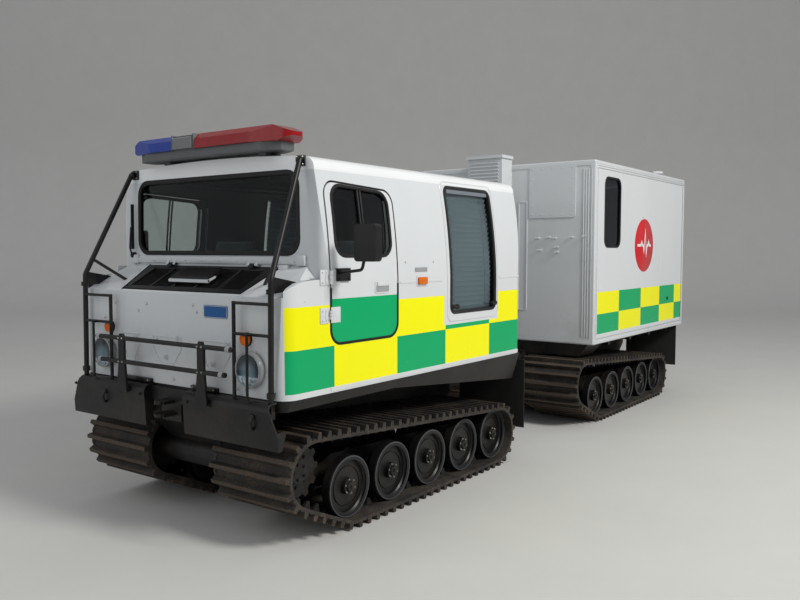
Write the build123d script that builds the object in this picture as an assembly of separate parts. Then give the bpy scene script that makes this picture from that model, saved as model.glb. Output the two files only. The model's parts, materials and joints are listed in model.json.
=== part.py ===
from build123d import *
import os
from math import asin, atan2, ceil, cos, hypot, pi, sin, sqrt

# Two-car tracked carrier. Millimetres, +X forward, +Y to the left, +Z up, ground at Z = 0.
# The origin is under the middle of the whole vehicle.

# Driving dimensions of the two cars
overall_length = 6900
front_body_length = 2735
front_body_width = 1870
rear_box_length = 2700
rear_box_width = 1960
body_floor_z = 862
front_roof_z = 2235
box_floor_z = 784
box_roof_z = 2520

# Walls, panels and clearances
cab_wall = 35
box_wall = 40
glass_thick = 6
seat_gap = 0.3
door_gap = 12
hatch_gap = 14
hatch_thick = 16

# Running gear
track_width = 620
track_outer_y = 925
belt_thick = 18
grouser_height = 37
grouser_pitch = 86
wheel_radius = 190
wheel_count = 5
wheel_pitch = 435
sprocket_radius = 185
sprocket_z = 410
sprocket_lead = 380
last_wheel_to_body = 295
last_wheel_to_box = 600

# Steering joint
pivot_z = 560
pitch_pin_radius = 32
yaw_pin_radius = 38
roll_shaft_radius = 62

# Lengths that follow from the driving dimensions
front_end_x = overall_length / 2
bumper_reach = 60
nose_x = front_end_x - bumper_reach
body_rear_x = nose_x - front_body_length
door_hardware = 20
box_rear_x = -overall_length / 2 + door_hardware
box_front_x = box_rear_x + rear_box_length
half_width = front_body_width / 2
box_half = rear_box_width / 2
hub_z = belt_thick + grouser_height + wheel_radius + seat_gap


def block(x, y, z):
    """A box between two corners, each axis given as a (low, high) pair."""
    size = [high - low for low, high in (x, y, z)]
    middle = [(low + high) / 2 for low, high in (x, y, z)]
    return Pos(*middle) * Box(*size)


def across(points, y):
    """A side profile of (x, z) points, carried across from y[0] to y[1]."""
    outline = Polyline(*[(px, y[0], pz) for px, pz in points], close=True)
    return extrude(make_face(outline), amount=y[1] - y[0], dir=(0, 1, 0))


def along(points, x):
    """A cross-section of (y, z) points, carried along from x[0] to x[1]."""
    outline = Polyline(*[(x[0], py, pz) for py, pz in points], close=True)
    return extrude(make_face(outline), amount=x[1] - x[0], dir=(1, 0, 0))


def upward(points, z):
    """A plan of (x, y) points, carried up from z[0] to z[1]."""
    outline = Polyline(*[(px, py, z[0]) for px, py in points], close=True)
    return extrude(make_face(outline), amount=z[1] - z[0])


def rod(start, end, radius):
    """A round bar between two points."""
    run = Vector(*end) - Vector(*start)
    return extrude(Plane(origin=start, z_dir=run.normalized()) * Circle(radius), amount=run.length)


def tube(points, radius, bend):
    """A bent round tube through the points, with the bend radius at each corner."""
    path = FilletPolyline(*points, radius=bend) if len(points) > 2 else Line(*points)
    return sweep(Plane(origin=path @ 0, z_dir=path % 0) * Circle(radius), path=path)


def both_sides(shape):
    """The shape and its mirror image on the other side of the vehicle."""
    return shape + mirror(shape, about=Plane.XZ)


def rounded_window(points, radius, y):
    """A prism across the vehicle with a rounded outline, for doors, windows and their openings."""
    outline = Polyline(*[(px, y[0], pz) for px, pz in points], close=True)
    face = make_face(outline)
    soft = fillet(face.vertices(), radius)
    return extrude(soft, amount=y[1] - y[0], dir=(0, 1, 0))


def shrink(points, gap):
    """A convex outline of (x, z) corners moved towards its middle by a gap on each axis."""
    middle_x = sum(px for px, pz in points) / len(points)
    middle_z = sum(pz for px, pz in points) / len(points)
    moved = []
    for px, pz in points:
        step_x = gap if px < middle_x else -gap
        step_z = gap if pz < middle_z else -gap
        moved.append((px + step_x, pz + step_z))
    return moved


def save(shape, name):
    """Writes one sub-part under its node's name."""
    export_step(shape, f"parts/{name}.step")


os.makedirs("parts", exist_ok=True)

# Front car body: an outer form less an inner one, later split into its real panels
side_break_z = 1500
mid_side_z = 1800
mid_side_inset = 23
eave_z = 2130
eave_inset = 75
roof_corner_inset = 140
roof_corner_drop = 27
roof_rear_radius = 70
rear_corner_radius = 60
screen_x = nose_x - 390
screen_corner = 60
front_panel_low_x = nose_x - 78
front_panel_top_x = nose_x - 92
nose_corner = 90
hood_front_z = 1417
hood_rear_z = 1583
strip_inner_y = 800
hood_step_y = 870
wing_z = 1436
wing_rear_z = 1511
wing_rear_x = nose_x - 310


def body_section(inset, low_z):
    """The cab's cross-section at its rear wall: upright sides, barrel tumblehome, crowned roof."""
    side = half_width - inset
    eave = half_width - eave_inset - inset
    corner = half_width - roof_corner_inset
    crown_z = front_roof_z - inset
    corner_z = crown_z - roof_corner_drop
    x = body_rear_x
    mid_side = side - mid_side_inset
    corner_mid = (x, (eave + corner) / 2 + 14, (eave_z + corner_z) / 2 + 14)
    left = [
        Line((x, side, low_z), (x, side, side_break_z)),
        ThreePointArc((x, side, side_break_z), (x, mid_side, mid_side_z), (x, eave, eave_z)),
        ThreePointArc((x, eave, eave_z), corner_mid, (x, corner, corner_z)),
    ]
    crown = ThreePointArc((x, corner, corner_z), (x, 0, crown_z), (x, -corner, corner_z))
    right = [edge.mirror(Plane.XZ) for edge in left]
    floor_line = Line((x, -side, low_z), (x, side, low_z))
    return make_face(left + [crown] + right + [floor_line])


def cab_form(inset, low_z):
    """The cab from its rear wall to the windscreen, with rounded rear and front corners."""
    rear = body_rear_x + inset
    front = screen_x - inset
    bar = extrude(body_section(inset, low_z), amount=screen_x - body_rear_x, dir=(1, 0, 0))
    wide = half_width - inset
    plan = make_face(Polyline((rear, -wide), (front, -wide), (front, wide), (rear, wide), close=True))
    front_corners = [v for v in plan.vertices() if v.X > 0.5 * (front + rear)]
    plan = fillet(front_corners, max(screen_corner - inset, 10))
    rear_corners = [v for v in plan.vertices() if v.X < rear + 1]
    plan = fillet(rear_corners, max(rear_corner_radius - inset, 10))
    column = extrude(Pos(0, 0, low_z) * plan, amount=front_roof_z - low_z)
    bar = bar & column
    corner = roof_rear_radius
    edge_cut = block((rear - 1, rear + corner), (-wide, wide), (front_roof_z - corner - inset, front_roof_z))
    roller = rod((rear + corner, -wide, front_roof_z - corner - inset),
                 (rear + corner, wide, front_roof_z - corner - inset), corner)
    return bar - (edge_cut - roller)


def hood_form(inset, low_z):
    """The nose between the wings: inset front panel, sloping hood and its stepped edges."""
    low_x = front_panel_low_x - inset
    top_x = front_panel_top_x - inset
    rear_x = screen_x - 2 * cab_wall
    profile = [(rear_x, low_z), (low_x, low_z), (top_x, hood_front_z - inset)]
    profile += [(screen_x, hood_rear_z - inset), (rear_x, hood_rear_z - inset)]
    side = half_width - cab_wall if inset == 0 else half_width - inset
    centre = across(profile, (-side, side))
    step = [(-side, low_z), (side, low_z), (side, wing_rear_z - inset - 8)]
    step += [(hood_step_y, wing_rear_z - inset), (strip_inner_y, hood_rear_z - inset + 5)]
    step += [(-strip_inner_y, hood_rear_z - inset + 5), (-hood_step_y, wing_rear_z - inset)]
    step += [(-side, wing_rear_z - inset - 8)]
    return centre & along(step, (rear_x, low_x + 5))


wing_profile = [(screen_x - 80, body_floor_z), (front_panel_low_x, body_floor_z), (front_panel_low_x, wing_z)]
wing_profile += [(nose_x - 118, wing_z + 34), (nose_x - 173, wing_z + 59)]
wing_profile += [(nose_x - 240, wing_z + 70), (wing_rear_x, wing_rear_z), (screen_x - 80, wing_rear_z)]
wings = both_sides(across(wing_profile, (half_width - cab_wall, half_width)))

inner_low = body_floor_z - 50
cab_shell = cab_form(0, body_floor_z) + hood_form(0, body_floor_z)
cab_shell = cab_shell - cab_form(cab_wall, inner_low) - hood_form(cab_wall, inner_low)
cab_shell = cab_shell + wings

# The upright front corners of the nose are rounded in plan, and so is the hull below them
corner_x, corner_y = front_panel_low_x - nose_corner, half_width - nose_corner
corner_cut = block((corner_x, nose_x), (corner_y, half_width + 20), (0, wing_rear_z + 20))
corner_cut -= rod((corner_x, corner_y, 0), (corner_x, corner_y, wing_rear_z + 20), nose_corner)
cab_shell = cab_shell - both_sides(corner_cut)

# Openings in the cab: doors, windscreen, side windows, rear window and the hood hatch
door_front_x = nose_x - 435
door_rear_x = nose_x - 1090
door_low_z = 1130
door_top_z = 2080
door_corner = 95
door_corners = [(door_rear_x, door_low_z), (door_front_x, door_low_z)]
door_corners += [(door_front_x, door_top_z), (door_rear_x, door_top_z - 30)]
door_glass_corners = [(door_rear_x + 60, 1640), (door_front_x - 65, 1640)]
door_glass_corners += [(door_front_x - 65, 2055), (door_rear_x + 60, 2030)]
side_glass_corners = [(nose_x - 2330, 1235), (nose_x - 1700, 1235)]
side_glass_corners += [(nose_x - 1700, 2120), (nose_x - 2330, 2120)]
window_corner = 85
side_window_corner = 55
rear_glass_half = 420
rear_glass_z = (1500, 2000)
screen_half = 740
screen_z = (1655, 2125)
hatch_front_half = 556
hatch_rear_half = 624
hatch_front_x = front_panel_top_x - hatch_thick - 2
hatch_rear_x = screen_x
reach = half_width + 60
left_span = (half_width - 200, reach)


def screen_prism(gap, x):
    """The rounded windscreen outline, carried along X."""
    half = screen_half - gap
    low, high = screen_z[0] + gap, screen_z[1] - gap
    outline = Polyline((x[0], -half, low), (x[0], half, low), (x[0], half - 8, high),
                       (x[0], -half + 8, high), close=True)
    soft = fillet(make_face(outline).vertices(), window_corner - gap)
    return extrude(soft, amount=x[1] - x[0], dir=(1, 0, 0))


def rear_glass_prism(gap, x):
    """The rounded rear window outline, carried along X."""
    half = rear_glass_half - gap
    low, high = rear_glass_z[0] + gap, rear_glass_z[1] - gap
    outline = Polyline((x[0], -half, low), (x[0], half, low), (x[0], half, high),
                       (x[0], -half, high), close=True)
    soft = fillet(make_face(outline).vertices(), window_corner - gap)
    return extrude(soft, amount=x[1] - x[0], dir=(1, 0, 0))


def hatch_plan(gap):
    """The hood hatch's tapered plan as a tall prism."""
    points = [(hatch_front_x - gap, hatch_front_half - gap), (hatch_rear_x + gap, hatch_rear_half - gap)]
    points += [(hatch_rear_x + gap, -hatch_rear_half + gap), (hatch_front_x - gap, -hatch_front_half + gap)]
    return upward(points, (hood_front_z - 200, hood_rear_z + 40))


door_prism = rounded_window(door_corners, door_corner, left_span)
door_inner_prism = rounded_window(shrink(door_corners, door_gap), door_corner - door_gap, left_span)
door_glass_prism = rounded_window(door_glass_corners, window_corner, left_span)
side_glass_prism = rounded_window(side_glass_corners, side_window_corner, left_span)

left_door = cab_shell & door_inner_prism
left_door = left_door - door_glass_prism
openings = both_sides(door_prism) + both_sides(side_glass_prism)
cab_shell = cab_shell - openings
cab_shell = cab_shell - screen_prism(0, (screen_x - 2 * cab_wall, screen_x + 40))
cab_shell = cab_shell - rear_glass_prism(0, (body_rear_x - 20, body_rear_x + 2 * cab_wall))
cab_shell = cab_shell - hatch_plan(0)

# The shell parts along its real joints: roof, front, rear wall and the two sides
far = 2000
roof_zone = block((body_rear_x - 10, screen_x + 10), (-far, far), (eave_z, front_roof_z + 50))
front_zone = block((screen_x - cab_wall, nose_x), (-strip_inner_y, strip_inner_y), (0, eave_z))
rear_zone = block((body_rear_x - 10, body_rear_x + rear_corner_radius), (-strip_inner_y, strip_inner_y),
                  (0, eave_z))
cab_roof = cab_shell & roof_zone
nose_shell = cab_shell & front_zone
cab_rear_wall = cab_shell & rear_zone
right_zone = block((body_rear_x - 10, nose_x + 10), (-far, 0), (0, front_roof_z))
wing_zone = block((screen_x, nose_x + 10), (-far, far), (0, front_roof_z))
wing_panels = (cab_shell & (wing_zone - block((screen_x - 1, screen_x + seat_gap), (-far, far), (0, far)))) - front_zone
right_side = (cab_shell & right_zone) - roof_zone - front_zone - rear_zone - wing_zone

# Door and hatch hinges: a pin with two knuckles on the body, one knuckle on the moving panel
door_hinge_x = door_front_x + 6
door_hinge_y = half_width + 14
hinge_pin_radius = 6
knuckle_radius = 12
knuckle_gap = 1.5
hinge_strap = 48
door_hinge_rows = [(1285, 1335), (1485, 1560)]  # low and high z of each hinge


def door_hinge(low, high):
    """Returns the body's half and the door's half of one hinge of the left cab door."""
    third = (high - low) / 3
    pin = rod((door_hinge_x, door_hinge_y, low), (door_hinge_x, door_hinge_y, high), hinge_pin_radius)
    fixed = pin
    for base in (low, high - third + knuckle_gap):
        fixed += rod((door_hinge_x, door_hinge_y, base),
                     (door_hinge_x, door_hinge_y, base + third - knuckle_gap), knuckle_radius)
    leaf = block((door_hinge_x + 4, screen_x - 1), (half_width, half_width + 8), (low, high))
    clear = rod((door_hinge_x, door_hinge_y, low + third - knuckle_gap),
                (door_hinge_x, door_hinge_y, high - third + knuckle_gap), knuckle_radius + 5)
    fixed += leaf - clear
    middle = (low + third, high - third)
    moving = rod((door_hinge_x, door_hinge_y, middle[0]), (door_hinge_x, door_hinge_y, middle[1]),
                 knuckle_radius)
    strap_y = (half_width, half_width + 8)
    moving += block((door_hinge_x - hinge_strap, door_hinge_x - 4), strap_y, middle)
    moving -= block((door_front_x - door_gap + 1, door_hinge_x), (half_width - 1, half_width + 2), middle)
    moving -= rod((door_hinge_x, door_hinge_y, low), (door_hinge_x, door_hinge_y, high),
                  hinge_pin_radius + seat_gap)
    return fixed, moving


fixed_hinges = None
for low, high in door_hinge_rows:
    fixed, moving = door_hinge(low, high)
    fixed_hinges = fixed if fixed_hinges is None else fixed_hinges + fixed
    left_door = left_door + moving
right_side = right_side + mirror(fixed_hinges, about=Plane.XZ)
cab_sides = Compound([right_side, mirror(right_side, about=Plane.XZ)])

glass_inset = 14
glass_skin = cab_form(glass_inset, body_floor_z) - cab_form(glass_inset + glass_thick, inner_low)


def pane(corners, radius):
    """A curved pane seated in its opening, for the left side."""
    outline = rounded_window(shrink(corners, seat_gap), radius - seat_gap, left_span)
    return glass_skin & outline


left_door_glass = pane(door_glass_corners, window_corner)
left_side_glass = pane(side_glass_corners, side_window_corner)
glass_front_x = screen_x - glass_inset
windscreen = screen_prism(seat_gap, (glass_front_x - glass_thick, glass_front_x))
rear_pane_x = body_rear_x + glass_inset
rear_glass = rear_glass_prism(seat_gap, (rear_pane_x, rear_pane_x + glass_thick))

save(cab_roof, "cab_roof")
save(nose_shell, "nose_shell")
save(cab_rear_wall, "cab_rear_wall")
save(cab_sides, "cab_sides")
save(wing_panels, "wing_panels")
save(windscreen, "windscreen")
save(both_sides(left_side_glass) + rear_glass, "cab_windows")
save(left_door, "cab_door_left")
save(mirror(left_door, about=Plane.XZ), "cab_door_right")
save(left_door_glass, "door_glass_left")
save(mirror(left_door_glass, about=Plane.XZ), "door_glass_right")

# Hood hatch: a tapered grille lid in the hood's slope, hinged at the foot of the windscreen
hatch_rim = 28
hatch_bars = 5
hatch_pin_x = hatch_rear_x + hatch_gap + 6
hatch_pin_z = hood_rear_z + 4
hatch_pin_radius = 4
hatch_knuckle = 8
hatch_skin = hood_form(0, body_floor_z) - hood_form(hatch_thick, inner_low)
hood_slope = (hood_rear_z - hood_front_z) / (front_panel_top_x - screen_x)
lip_z = hood_front_z + (front_panel_top_x - hatch_front_x) * hood_slope
swing_radius = hypot(hatch_front_x - hatch_pin_x, lip_z - hatch_pin_z) - hatch_gap + 4
swing = rod((hatch_pin_x, -half_width, hatch_pin_z), (hatch_pin_x, half_width, hatch_pin_z), swing_radius)
engine_hatch = hatch_skin & hatch_plan(hatch_gap) & swing
grille_span = 2 * (hatch_front_half - hatch_gap - hatch_rim)
slot_width = (grille_span - (hatch_bars - 1) * 18) / hatch_bars
for index in range(hatch_bars):
    slot_y = -grille_span / 2 + index * (slot_width + 18)
    engine_hatch -= block((hatch_rear_x + hatch_gap + hatch_rim, hatch_front_x - hatch_gap - hatch_rim),
                          (slot_y, slot_y + slot_width), (hood_front_z - 200, hood_rear_z + 40))
for side in (-1, 1):
    knuckle_y = side * 380
    pin_ends = [(hatch_pin_x, knuckle_y - 45, hatch_pin_z), (hatch_pin_x, knuckle_y + 45, hatch_pin_z)]
    engine_hatch += rod((hatch_pin_x, knuckle_y - 20, hatch_pin_z),
                        (hatch_pin_x, knuckle_y + 20, hatch_pin_z), hatch_knuckle)
    engine_hatch += block((hatch_pin_x - 3, hatch_pin_x + 18), (knuckle_y - 20, knuckle_y + 20),
                          (hatch_pin_z - 20, hatch_pin_z - 4))
    engine_hatch -= rod(*pin_ends, hatch_pin_radius + seat_gap)
    nose_shell += rod(*pin_ends, hatch_pin_radius)
    for low, high in ((-45, -22), (22, 45)):
        nose_shell += rod((hatch_pin_x, knuckle_y + low, hatch_pin_z),
                          (hatch_pin_x, knuckle_y + high, hatch_pin_z), hatch_knuckle)
        nose_shell += block((screen_x, hatch_pin_x), (knuckle_y + low, knuckle_y + high),
                            (hatch_pin_z, hatch_pin_z + 22))
save(nose_shell, "nose_shell")
save(engine_hatch, "engine_hatch")

# Lower hull of the front car: tapered skirt over the tracks and a centre tub between them
tub_half = 270
tub_low_z = 350
skirt_front_z = 800
skirt_rear_z = 645
skirt_step_x = nose_x - 1080
hull_top_z = body_floor_z
hull_front_x = front_panel_low_x
skirt_side = [(body_rear_x, hull_top_z), (hull_front_x, hull_top_z), (hull_front_x, skirt_front_z)]
skirt_side += [(skirt_step_x, skirt_front_z), (body_rear_x, skirt_rear_z)]
skirt_section = [(-half_width + 5, hull_top_z), (half_width - 5, hull_top_z)]
skirt_section += [(half_width - 70, skirt_rear_z), (-half_width + 70, skirt_rear_z)]
front_hull = across(skirt_side, (-half_width, half_width)) & along(skirt_section, (body_rear_x, nose_x))
tub_side = [(body_rear_x, hull_top_z), (body_rear_x, 480), (body_rear_x + 130, tub_low_z)]
tub_side += [(nose_x - 520, tub_low_z), (nose_x - 320, 420), (hull_front_x, 690), (hull_front_x, hull_top_z)]
front_hull -= both_sides(corner_cut)
front_hull += across(tub_side, (-tub_half, tub_half))
engine_x = (nose_x - 910, nose_x - 280)
engine_half = 220
engine_floor_z = 560
bay_clear = 40
front_hull -= block((engine_x[0] - bay_clear, engine_x[1] + bay_clear),
                    (-engine_half - 30, engine_half + 30), (engine_floor_z, hull_top_z + 1))
engine_section = [(-engine_half, engine_floor_z + seat_gap), (engine_half, engine_floor_z + seat_gap)]
engine_section += [(engine_half, 800), (150, 980), (150, 1180), (-150, 1180), (-150, 980), (-engine_half, 800)]
save(along(engine_section, engine_x), "engine_block")

# Running gear, the same under both cars
track_inner_y = track_outer_y - track_width
inner_disc_y = (track_inner_y + 70, track_inner_y + 125)
outer_disc_y = (track_outer_y - 125, track_outer_y - 70)
axle_radius = 28
beam_y = (590, 650)
cross_tube_radius = 40
front_last_wheel_x = body_rear_x + last_wheel_to_body
rear_last_wheel_x = box_rear_x + last_wheel_to_box
grouser_outline = [(-20, 0), (-12, grouser_height), (12, grouser_height), (20, 0)]  # along, out


def wheel_places(last_x):
    """The five wheel centres of one track, from the rear."""
    return [last_x + index * wheel_pitch for index in range(wheel_count)]


def upper_reach(from_spot, to_spot):
    """Direction of the belt's straight run between two round ends, each given as (x, z, radius)."""
    run_x, run_z = to_spot[0] - from_spot[0], to_spot[1] - from_spot[1]
    return atan2(run_z, run_x) + asin((to_spot[2] - from_spot[2]) / hypot(run_x, run_z))


def loop_pieces(last_x, lift):
    """The track's path as lines and arcs, at a height above its inner face, from the last wheel forward.

    A line is (x, z, x, z); an arc is (centre x, centre z, radius, start angle, end angle).
    """
    first_x = last_x + (wheel_count - 1) * wheel_pitch
    rear = (last_x, hub_z, wheel_radius + seat_gap + lift)
    drive = (first_x + sprocket_lead, sprocket_z, sprocket_radius + seat_gap + lift)
    first = (first_x, hub_z, wheel_radius + seat_gap + lift)
    rise = upper_reach(rear, drive) + pi / 2
    fall = upper_reach(drive, first) + pi / 2
    corners = []
    for spot, turn in ((rear, rise), (drive, rise), (drive, fall), (first, fall)):
        corners.append((spot[0] + spot[2] * cos(turn), spot[1] + spot[2] * sin(turn)))
    return [
        (*rear, -pi / 2, rise - 2 * pi),
        (*corners[0], *corners[1]),
        (*drive, rise, fall),
        (*corners[2], *corners[3]),
        (*first, fall, -pi / 2),
        (first_x, hub_z - first[2], last_x, hub_z - rear[2]),
    ]


def piece_spot(piece, share):
    """The point at a share of the way along one line or arc of the path."""
    if len(piece) == 4:
        return (piece[0] + (piece[2] - piece[0]) * share, piece[1] + (piece[3] - piece[1]) * share)
    turn = piece[3] + (piece[4] - piece[3]) * share
    return (piece[0] + piece[2] * cos(turn), piece[1] + piece[2] * sin(turn))


def loop_spots(last_x, lift, step):
    """Evenly spaced places round the path, each as (x, z, direction x, direction z)."""
    dense = []
    for piece in loop_pieces(last_x, lift):
        start, end = piece_spot(piece, 0), piece_spot(piece, 1)
        length = hypot(end[0] - start[0], end[1] - start[1])
        if len(piece) == 5:
            length = abs(piece[4] - piece[3]) * piece[2]
        count = max(2, ceil(length / 6))
        dense += [piece_spot(piece, k / count) for k in range(count)]
    lengths = [0]
    for here, there in zip(dense, dense[1:] + dense[:1]):
        lengths.append(lengths[-1] + hypot(there[0] - here[0], there[1] - here[1]))
    count = round(lengths[-1] / step)
    spots = []
    index = 0
    for k in range(count):
        goal = lengths[-1] * k / count
        while lengths[index + 1] < goal:
            index += 1
        here, there = dense[index], dense[(index + 1) % len(dense)]
        size = lengths[index + 1] - lengths[index]
        share = (goal - lengths[index]) / size
        run = ((there[0] - here[0]) / size, (there[1] - here[1]) / size)
        spots.append((here[0] + run[0] * size * share, here[1] + run[1] * size * share, *run))
    return spots


def track_loop(last_x):
    """One fixed track: a belt with a grouser at every pitch, open inside for its wheels."""
    outer = []
    for x, z, run_x, run_z in loop_spots(last_x, belt_thick, grouser_pitch):
        out_x, out_z = -run_z, run_x
        for shift, height in grouser_outline:
            outer.append((x + run_x * shift + out_x * height, z + run_z * shift + out_z * height))
    edges = []
    for piece in loop_pieces(last_x, 0):
        ends = [piece_spot(piece, share) for share in (0, 0.5, 1)]
        spots = [(x, track_inner_y - 1, z) for x, z in ends]
        edges.append(Line(spots[0], spots[2]) if len(piece) == 4 else ThreePointArc(*spots))
    inside = extrude(make_face(edges), amount=track_width + 2, dir=(0, 1, 0))
    return across(outer, (track_inner_y, track_outer_y)) - inside


def road_wheel(x):
    """A twin road wheel: a plain inner disc and a dished outer disc on one axle, turned about its axle."""
    rim = wheel_radius
    dish_y = outer_disc_y[1] - 27
    profile = [(0, inner_disc_y[0]), (rim, inner_disc_y[0]), (rim, inner_disc_y[1]), (axle_radius, inner_disc_y[1])]
    profile += [(axle_radius, outer_disc_y[0]), (rim, outer_disc_y[0]), (rim, outer_disc_y[1])]
    profile += [(rim - 28, dish_y), (52, dish_y), (52, outer_disc_y[1] + 5), (0, outer_disc_y[1] + 5)]
    outline = Polyline(*[(x + r, y, hub_z) for r, y in profile], close=True)
    return revolve(make_face(outline), axis=Axis((x, 0, hub_z), (0, 1, 0)))


sprocket_teeth = 12
sprocket_rings = [(430, 480), (720, 770)]  # inner and outer y of each toothed ring
sprocket_root = sprocket_radius - 27
sprocket_hub = 70
drive_start_y = 425


def sprocket(x):
    """A drive sprocket: two toothed rings on one hub."""
    step = 2 * pi / sprocket_teeth
    shape = rod((x, drive_start_y + seat_gap, sprocket_z), (x, 800, sprocket_z), sprocket_hub)
    points = []
    for tooth in range(sprocket_teeth):
        for share, radius in ((-0.3, sprocket_root), (-0.17, sprocket_radius),
                              (0.17, sprocket_radius), (0.3, sprocket_root)):
            turn = (tooth + share) * step
            points.append((x + radius * cos(turn), sprocket_z + radius * sin(turn)))
    for ring in sprocket_rings:
        shape += across(points, ring)
    return shape


def running_beam(last_x):
    """The bogie beam, bored for each axle, and its two cross tubes to the hull."""
    places = wheel_places(last_x)
    first_x = places[-1]
    side = [(last_x - 70, hub_z - 20), (first_x + 60, hub_z - 20), (first_x + 130, 330)]
    side += [(first_x - 60, 400), (last_x, 345), (last_x - 70, 300)]
    beam = across(side, beam_y)
    reach = wheel_radius + cross_tube_radius + 20
    cross_tube_z = hub_z + sqrt(reach * reach - wheel_pitch * wheel_pitch / 4)
    for x in places:
        beam -= rod((x, beam_y[0] - 1, hub_z), (x, beam_y[1] + 1, hub_z), axle_radius + seat_gap)
    for x in ((places[0] + places[1]) / 2, (places[3] + places[4]) / 2):
        beam += rod((x, tub_half + seat_gap, cross_tube_z), (x, beam_y[1], cross_tube_z), cross_tube_radius)
    return beam


drive_shafts = {}
for car, last_x in (("front", front_last_wheel_x), ("rear", rear_last_wheel_x)):
    left_track = track_loop(last_x)
    save(left_track, f"track_{car}_left")
    save(mirror(left_track, about=Plane.XZ), f"track_{car}_right")
    wheels = Compound([road_wheel(x) for x in wheel_places(last_x)])
    save(Compound([wheels, mirror(wheels, about=Plane.XZ)]), f"road_wheels_{car}")
    hub_x = last_x + (wheel_count - 1) * wheel_pitch + sprocket_lead
    save(both_sides(sprocket(hub_x)), f"sprockets_{car}")
    save(both_sides(running_beam(last_x)), f"running_beams_{car}")
    drive_shafts[car] = rod((hub_x, -drive_start_y, sprocket_z), (hub_x, drive_start_y, sprocket_z), 88)
front_hull += drive_shafts["front"]

# Steering joint: pitch at the front car, yaw in the middle, roll at the rear car
pivot_x = (body_rear_x + box_front_x) / 2 + 130
pitch_x = pivot_x + 430
lug_y = (100, 130)
barrel_radius = 60
lug_radius = 55
plate_z = (75, 105)  # height of the yoke plates above and below the pivot
link_half_z = 69
cylinder_front = (330, 175)  # x ahead of the yaw pin and y of the barrel's pin
cylinder_rear = (-60, 130)  # the same for the rod's eye
eye_half = 20
ear_z = (24, 40)
eye_radius = 28
cylinder_pin = 14
lug = across([(body_rear_x, pivot_z - 110), (pitch_x, pivot_z - lug_radius + 5),
              (pitch_x, pivot_z + lug_radius - 5), (body_rear_x, pivot_z + 110)], lug_y)
lug += rod((pitch_x, lug_y[0], pivot_z), (pitch_x, lug_y[1], pivot_z), lug_radius)
front_hull += both_sides(lug)
front_hull += rod((pitch_x, -lug_y[1] - 25, pivot_z), (pitch_x, lug_y[1] + 25, pivot_z), pitch_pin_radius)

front_yoke = rod((pitch_x, -lug_y[0] + 5, pivot_z), (pitch_x, lug_y[0] - 5, pivot_z), barrel_radius)
front_yoke += block((pivot_x + 308, pitch_x), (-lug_y[0] + 5, lug_y[0] - 5),
                    (pivot_z - 55, pivot_z + 55))
for low, high in (plate_z, (-plate_z[1], -plate_z[0])):
    span = (pivot_z + low, pivot_z + high)
    front_yoke += block((pivot_x, pivot_x + 400), (-85, 85), span)
    front_yoke += rod((pivot_x, 0, span[0]), (pivot_x, 0, span[1]), 85)
front_yoke += block((pivot_x + 308, pivot_x + 400), (-85, 85), (pivot_z - plate_z[1], pivot_z + plate_z[1]))
front_yoke += rod((pivot_x, 0, pivot_z - plate_z[1] - 15), (pivot_x, 0, pivot_z + plate_z[1] + 15),
                  yaw_pin_radius)
anchor_x, anchor_y = pivot_x + cylinder_front[0], cylinder_front[1]
ears = None
for low, high in (ear_z, (-ear_z[1], -ear_z[0])):
    span = (pivot_z + low, pivot_z + high)
    ear = block((anchor_x - 22, anchor_x + 34), (80, anchor_y), span)
    ear += rod((anchor_x, anchor_y, span[0]), (anchor_x, anchor_y, span[1]), eye_radius)
    ears = ear if ears is None else ears + ear
ears += rod((anchor_x, anchor_y, pivot_z - ear_z[1] - 6), (anchor_x, anchor_y, pivot_z + ear_z[1] + 6),
            cylinder_pin)
front_yoke += both_sides(ears)
front_yoke -= rod((pitch_x, -120, pivot_z), (pitch_x, 120, pivot_z), pitch_pin_radius + seat_gap)
save(front_yoke, "front_yoke")

flange_x = pivot_x - 150
shaft_end_x = pivot_x - 520
centre_link = rod((pivot_x, 0, pivot_z - link_half_z), (pivot_x, 0, pivot_z + link_half_z), 70)
centre_link += block((flange_x, pivot_x), (-70, 70), (pivot_z - 65, pivot_z + 65))
centre_link += rod((flange_x, 0, pivot_z), (flange_x - 18, 0, pivot_z), 98)
centre_link += rod((flange_x, 0, pivot_z), (shaft_end_x, 0, pivot_z), roll_shaft_radius)
rod_pin_x, rod_pin_y = pivot_x + cylinder_rear[0], cylinder_rear[1]
for low, high in (ear_z, (-ear_z[1], -ear_z[0])):
    span = (pivot_z + low, pivot_z + high)
    plate = upward([(rod_pin_x - 50, 60), (rod_pin_x + 50, 60), (rod_pin_x + 30, rod_pin_y),
                    (rod_pin_x - 30, rod_pin_y)], span)
    plate += rod((rod_pin_x, rod_pin_y, span[0]), (rod_pin_x, rod_pin_y, span[1]), 34)
    centre_link += both_sides(plate)
slot_reach = eye_radius + 22
eye_slot = rod((rod_pin_x, rod_pin_y, pivot_z - ear_z[0]), (rod_pin_x, rod_pin_y, pivot_z + ear_z[0]),
               slot_reach)
centre_link -= both_sides(eye_slot)
centre_link -= rod((pivot_x, 0, pivot_z - 80), (pivot_x, 0, pivot_z + 80), yaw_pin_radius + seat_gap)
save(centre_link, "centre_link")

# Steering cylinders: a barrel on the front yoke and a rod whose eye stands in the centre link's ears
run_x = rod_pin_x - anchor_x
run_y = rod_pin_y - anchor_y
cylinder_length = hypot(run_x, run_y)
heading = Plane(origin=(anchor_x, anchor_y, pivot_z), x_dir=(0, 0, 1), z_dir=(run_x, run_y, 0))
barrel_span = (42, 245)
barrel_outer = 33
rod_radius = 17


def on_heading(start, end, radius):
    """A round bar along the left cylinder, by distances from its front pin."""
    return extrude(heading.offset(start) * Circle(radius), amount=end - start)


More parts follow.
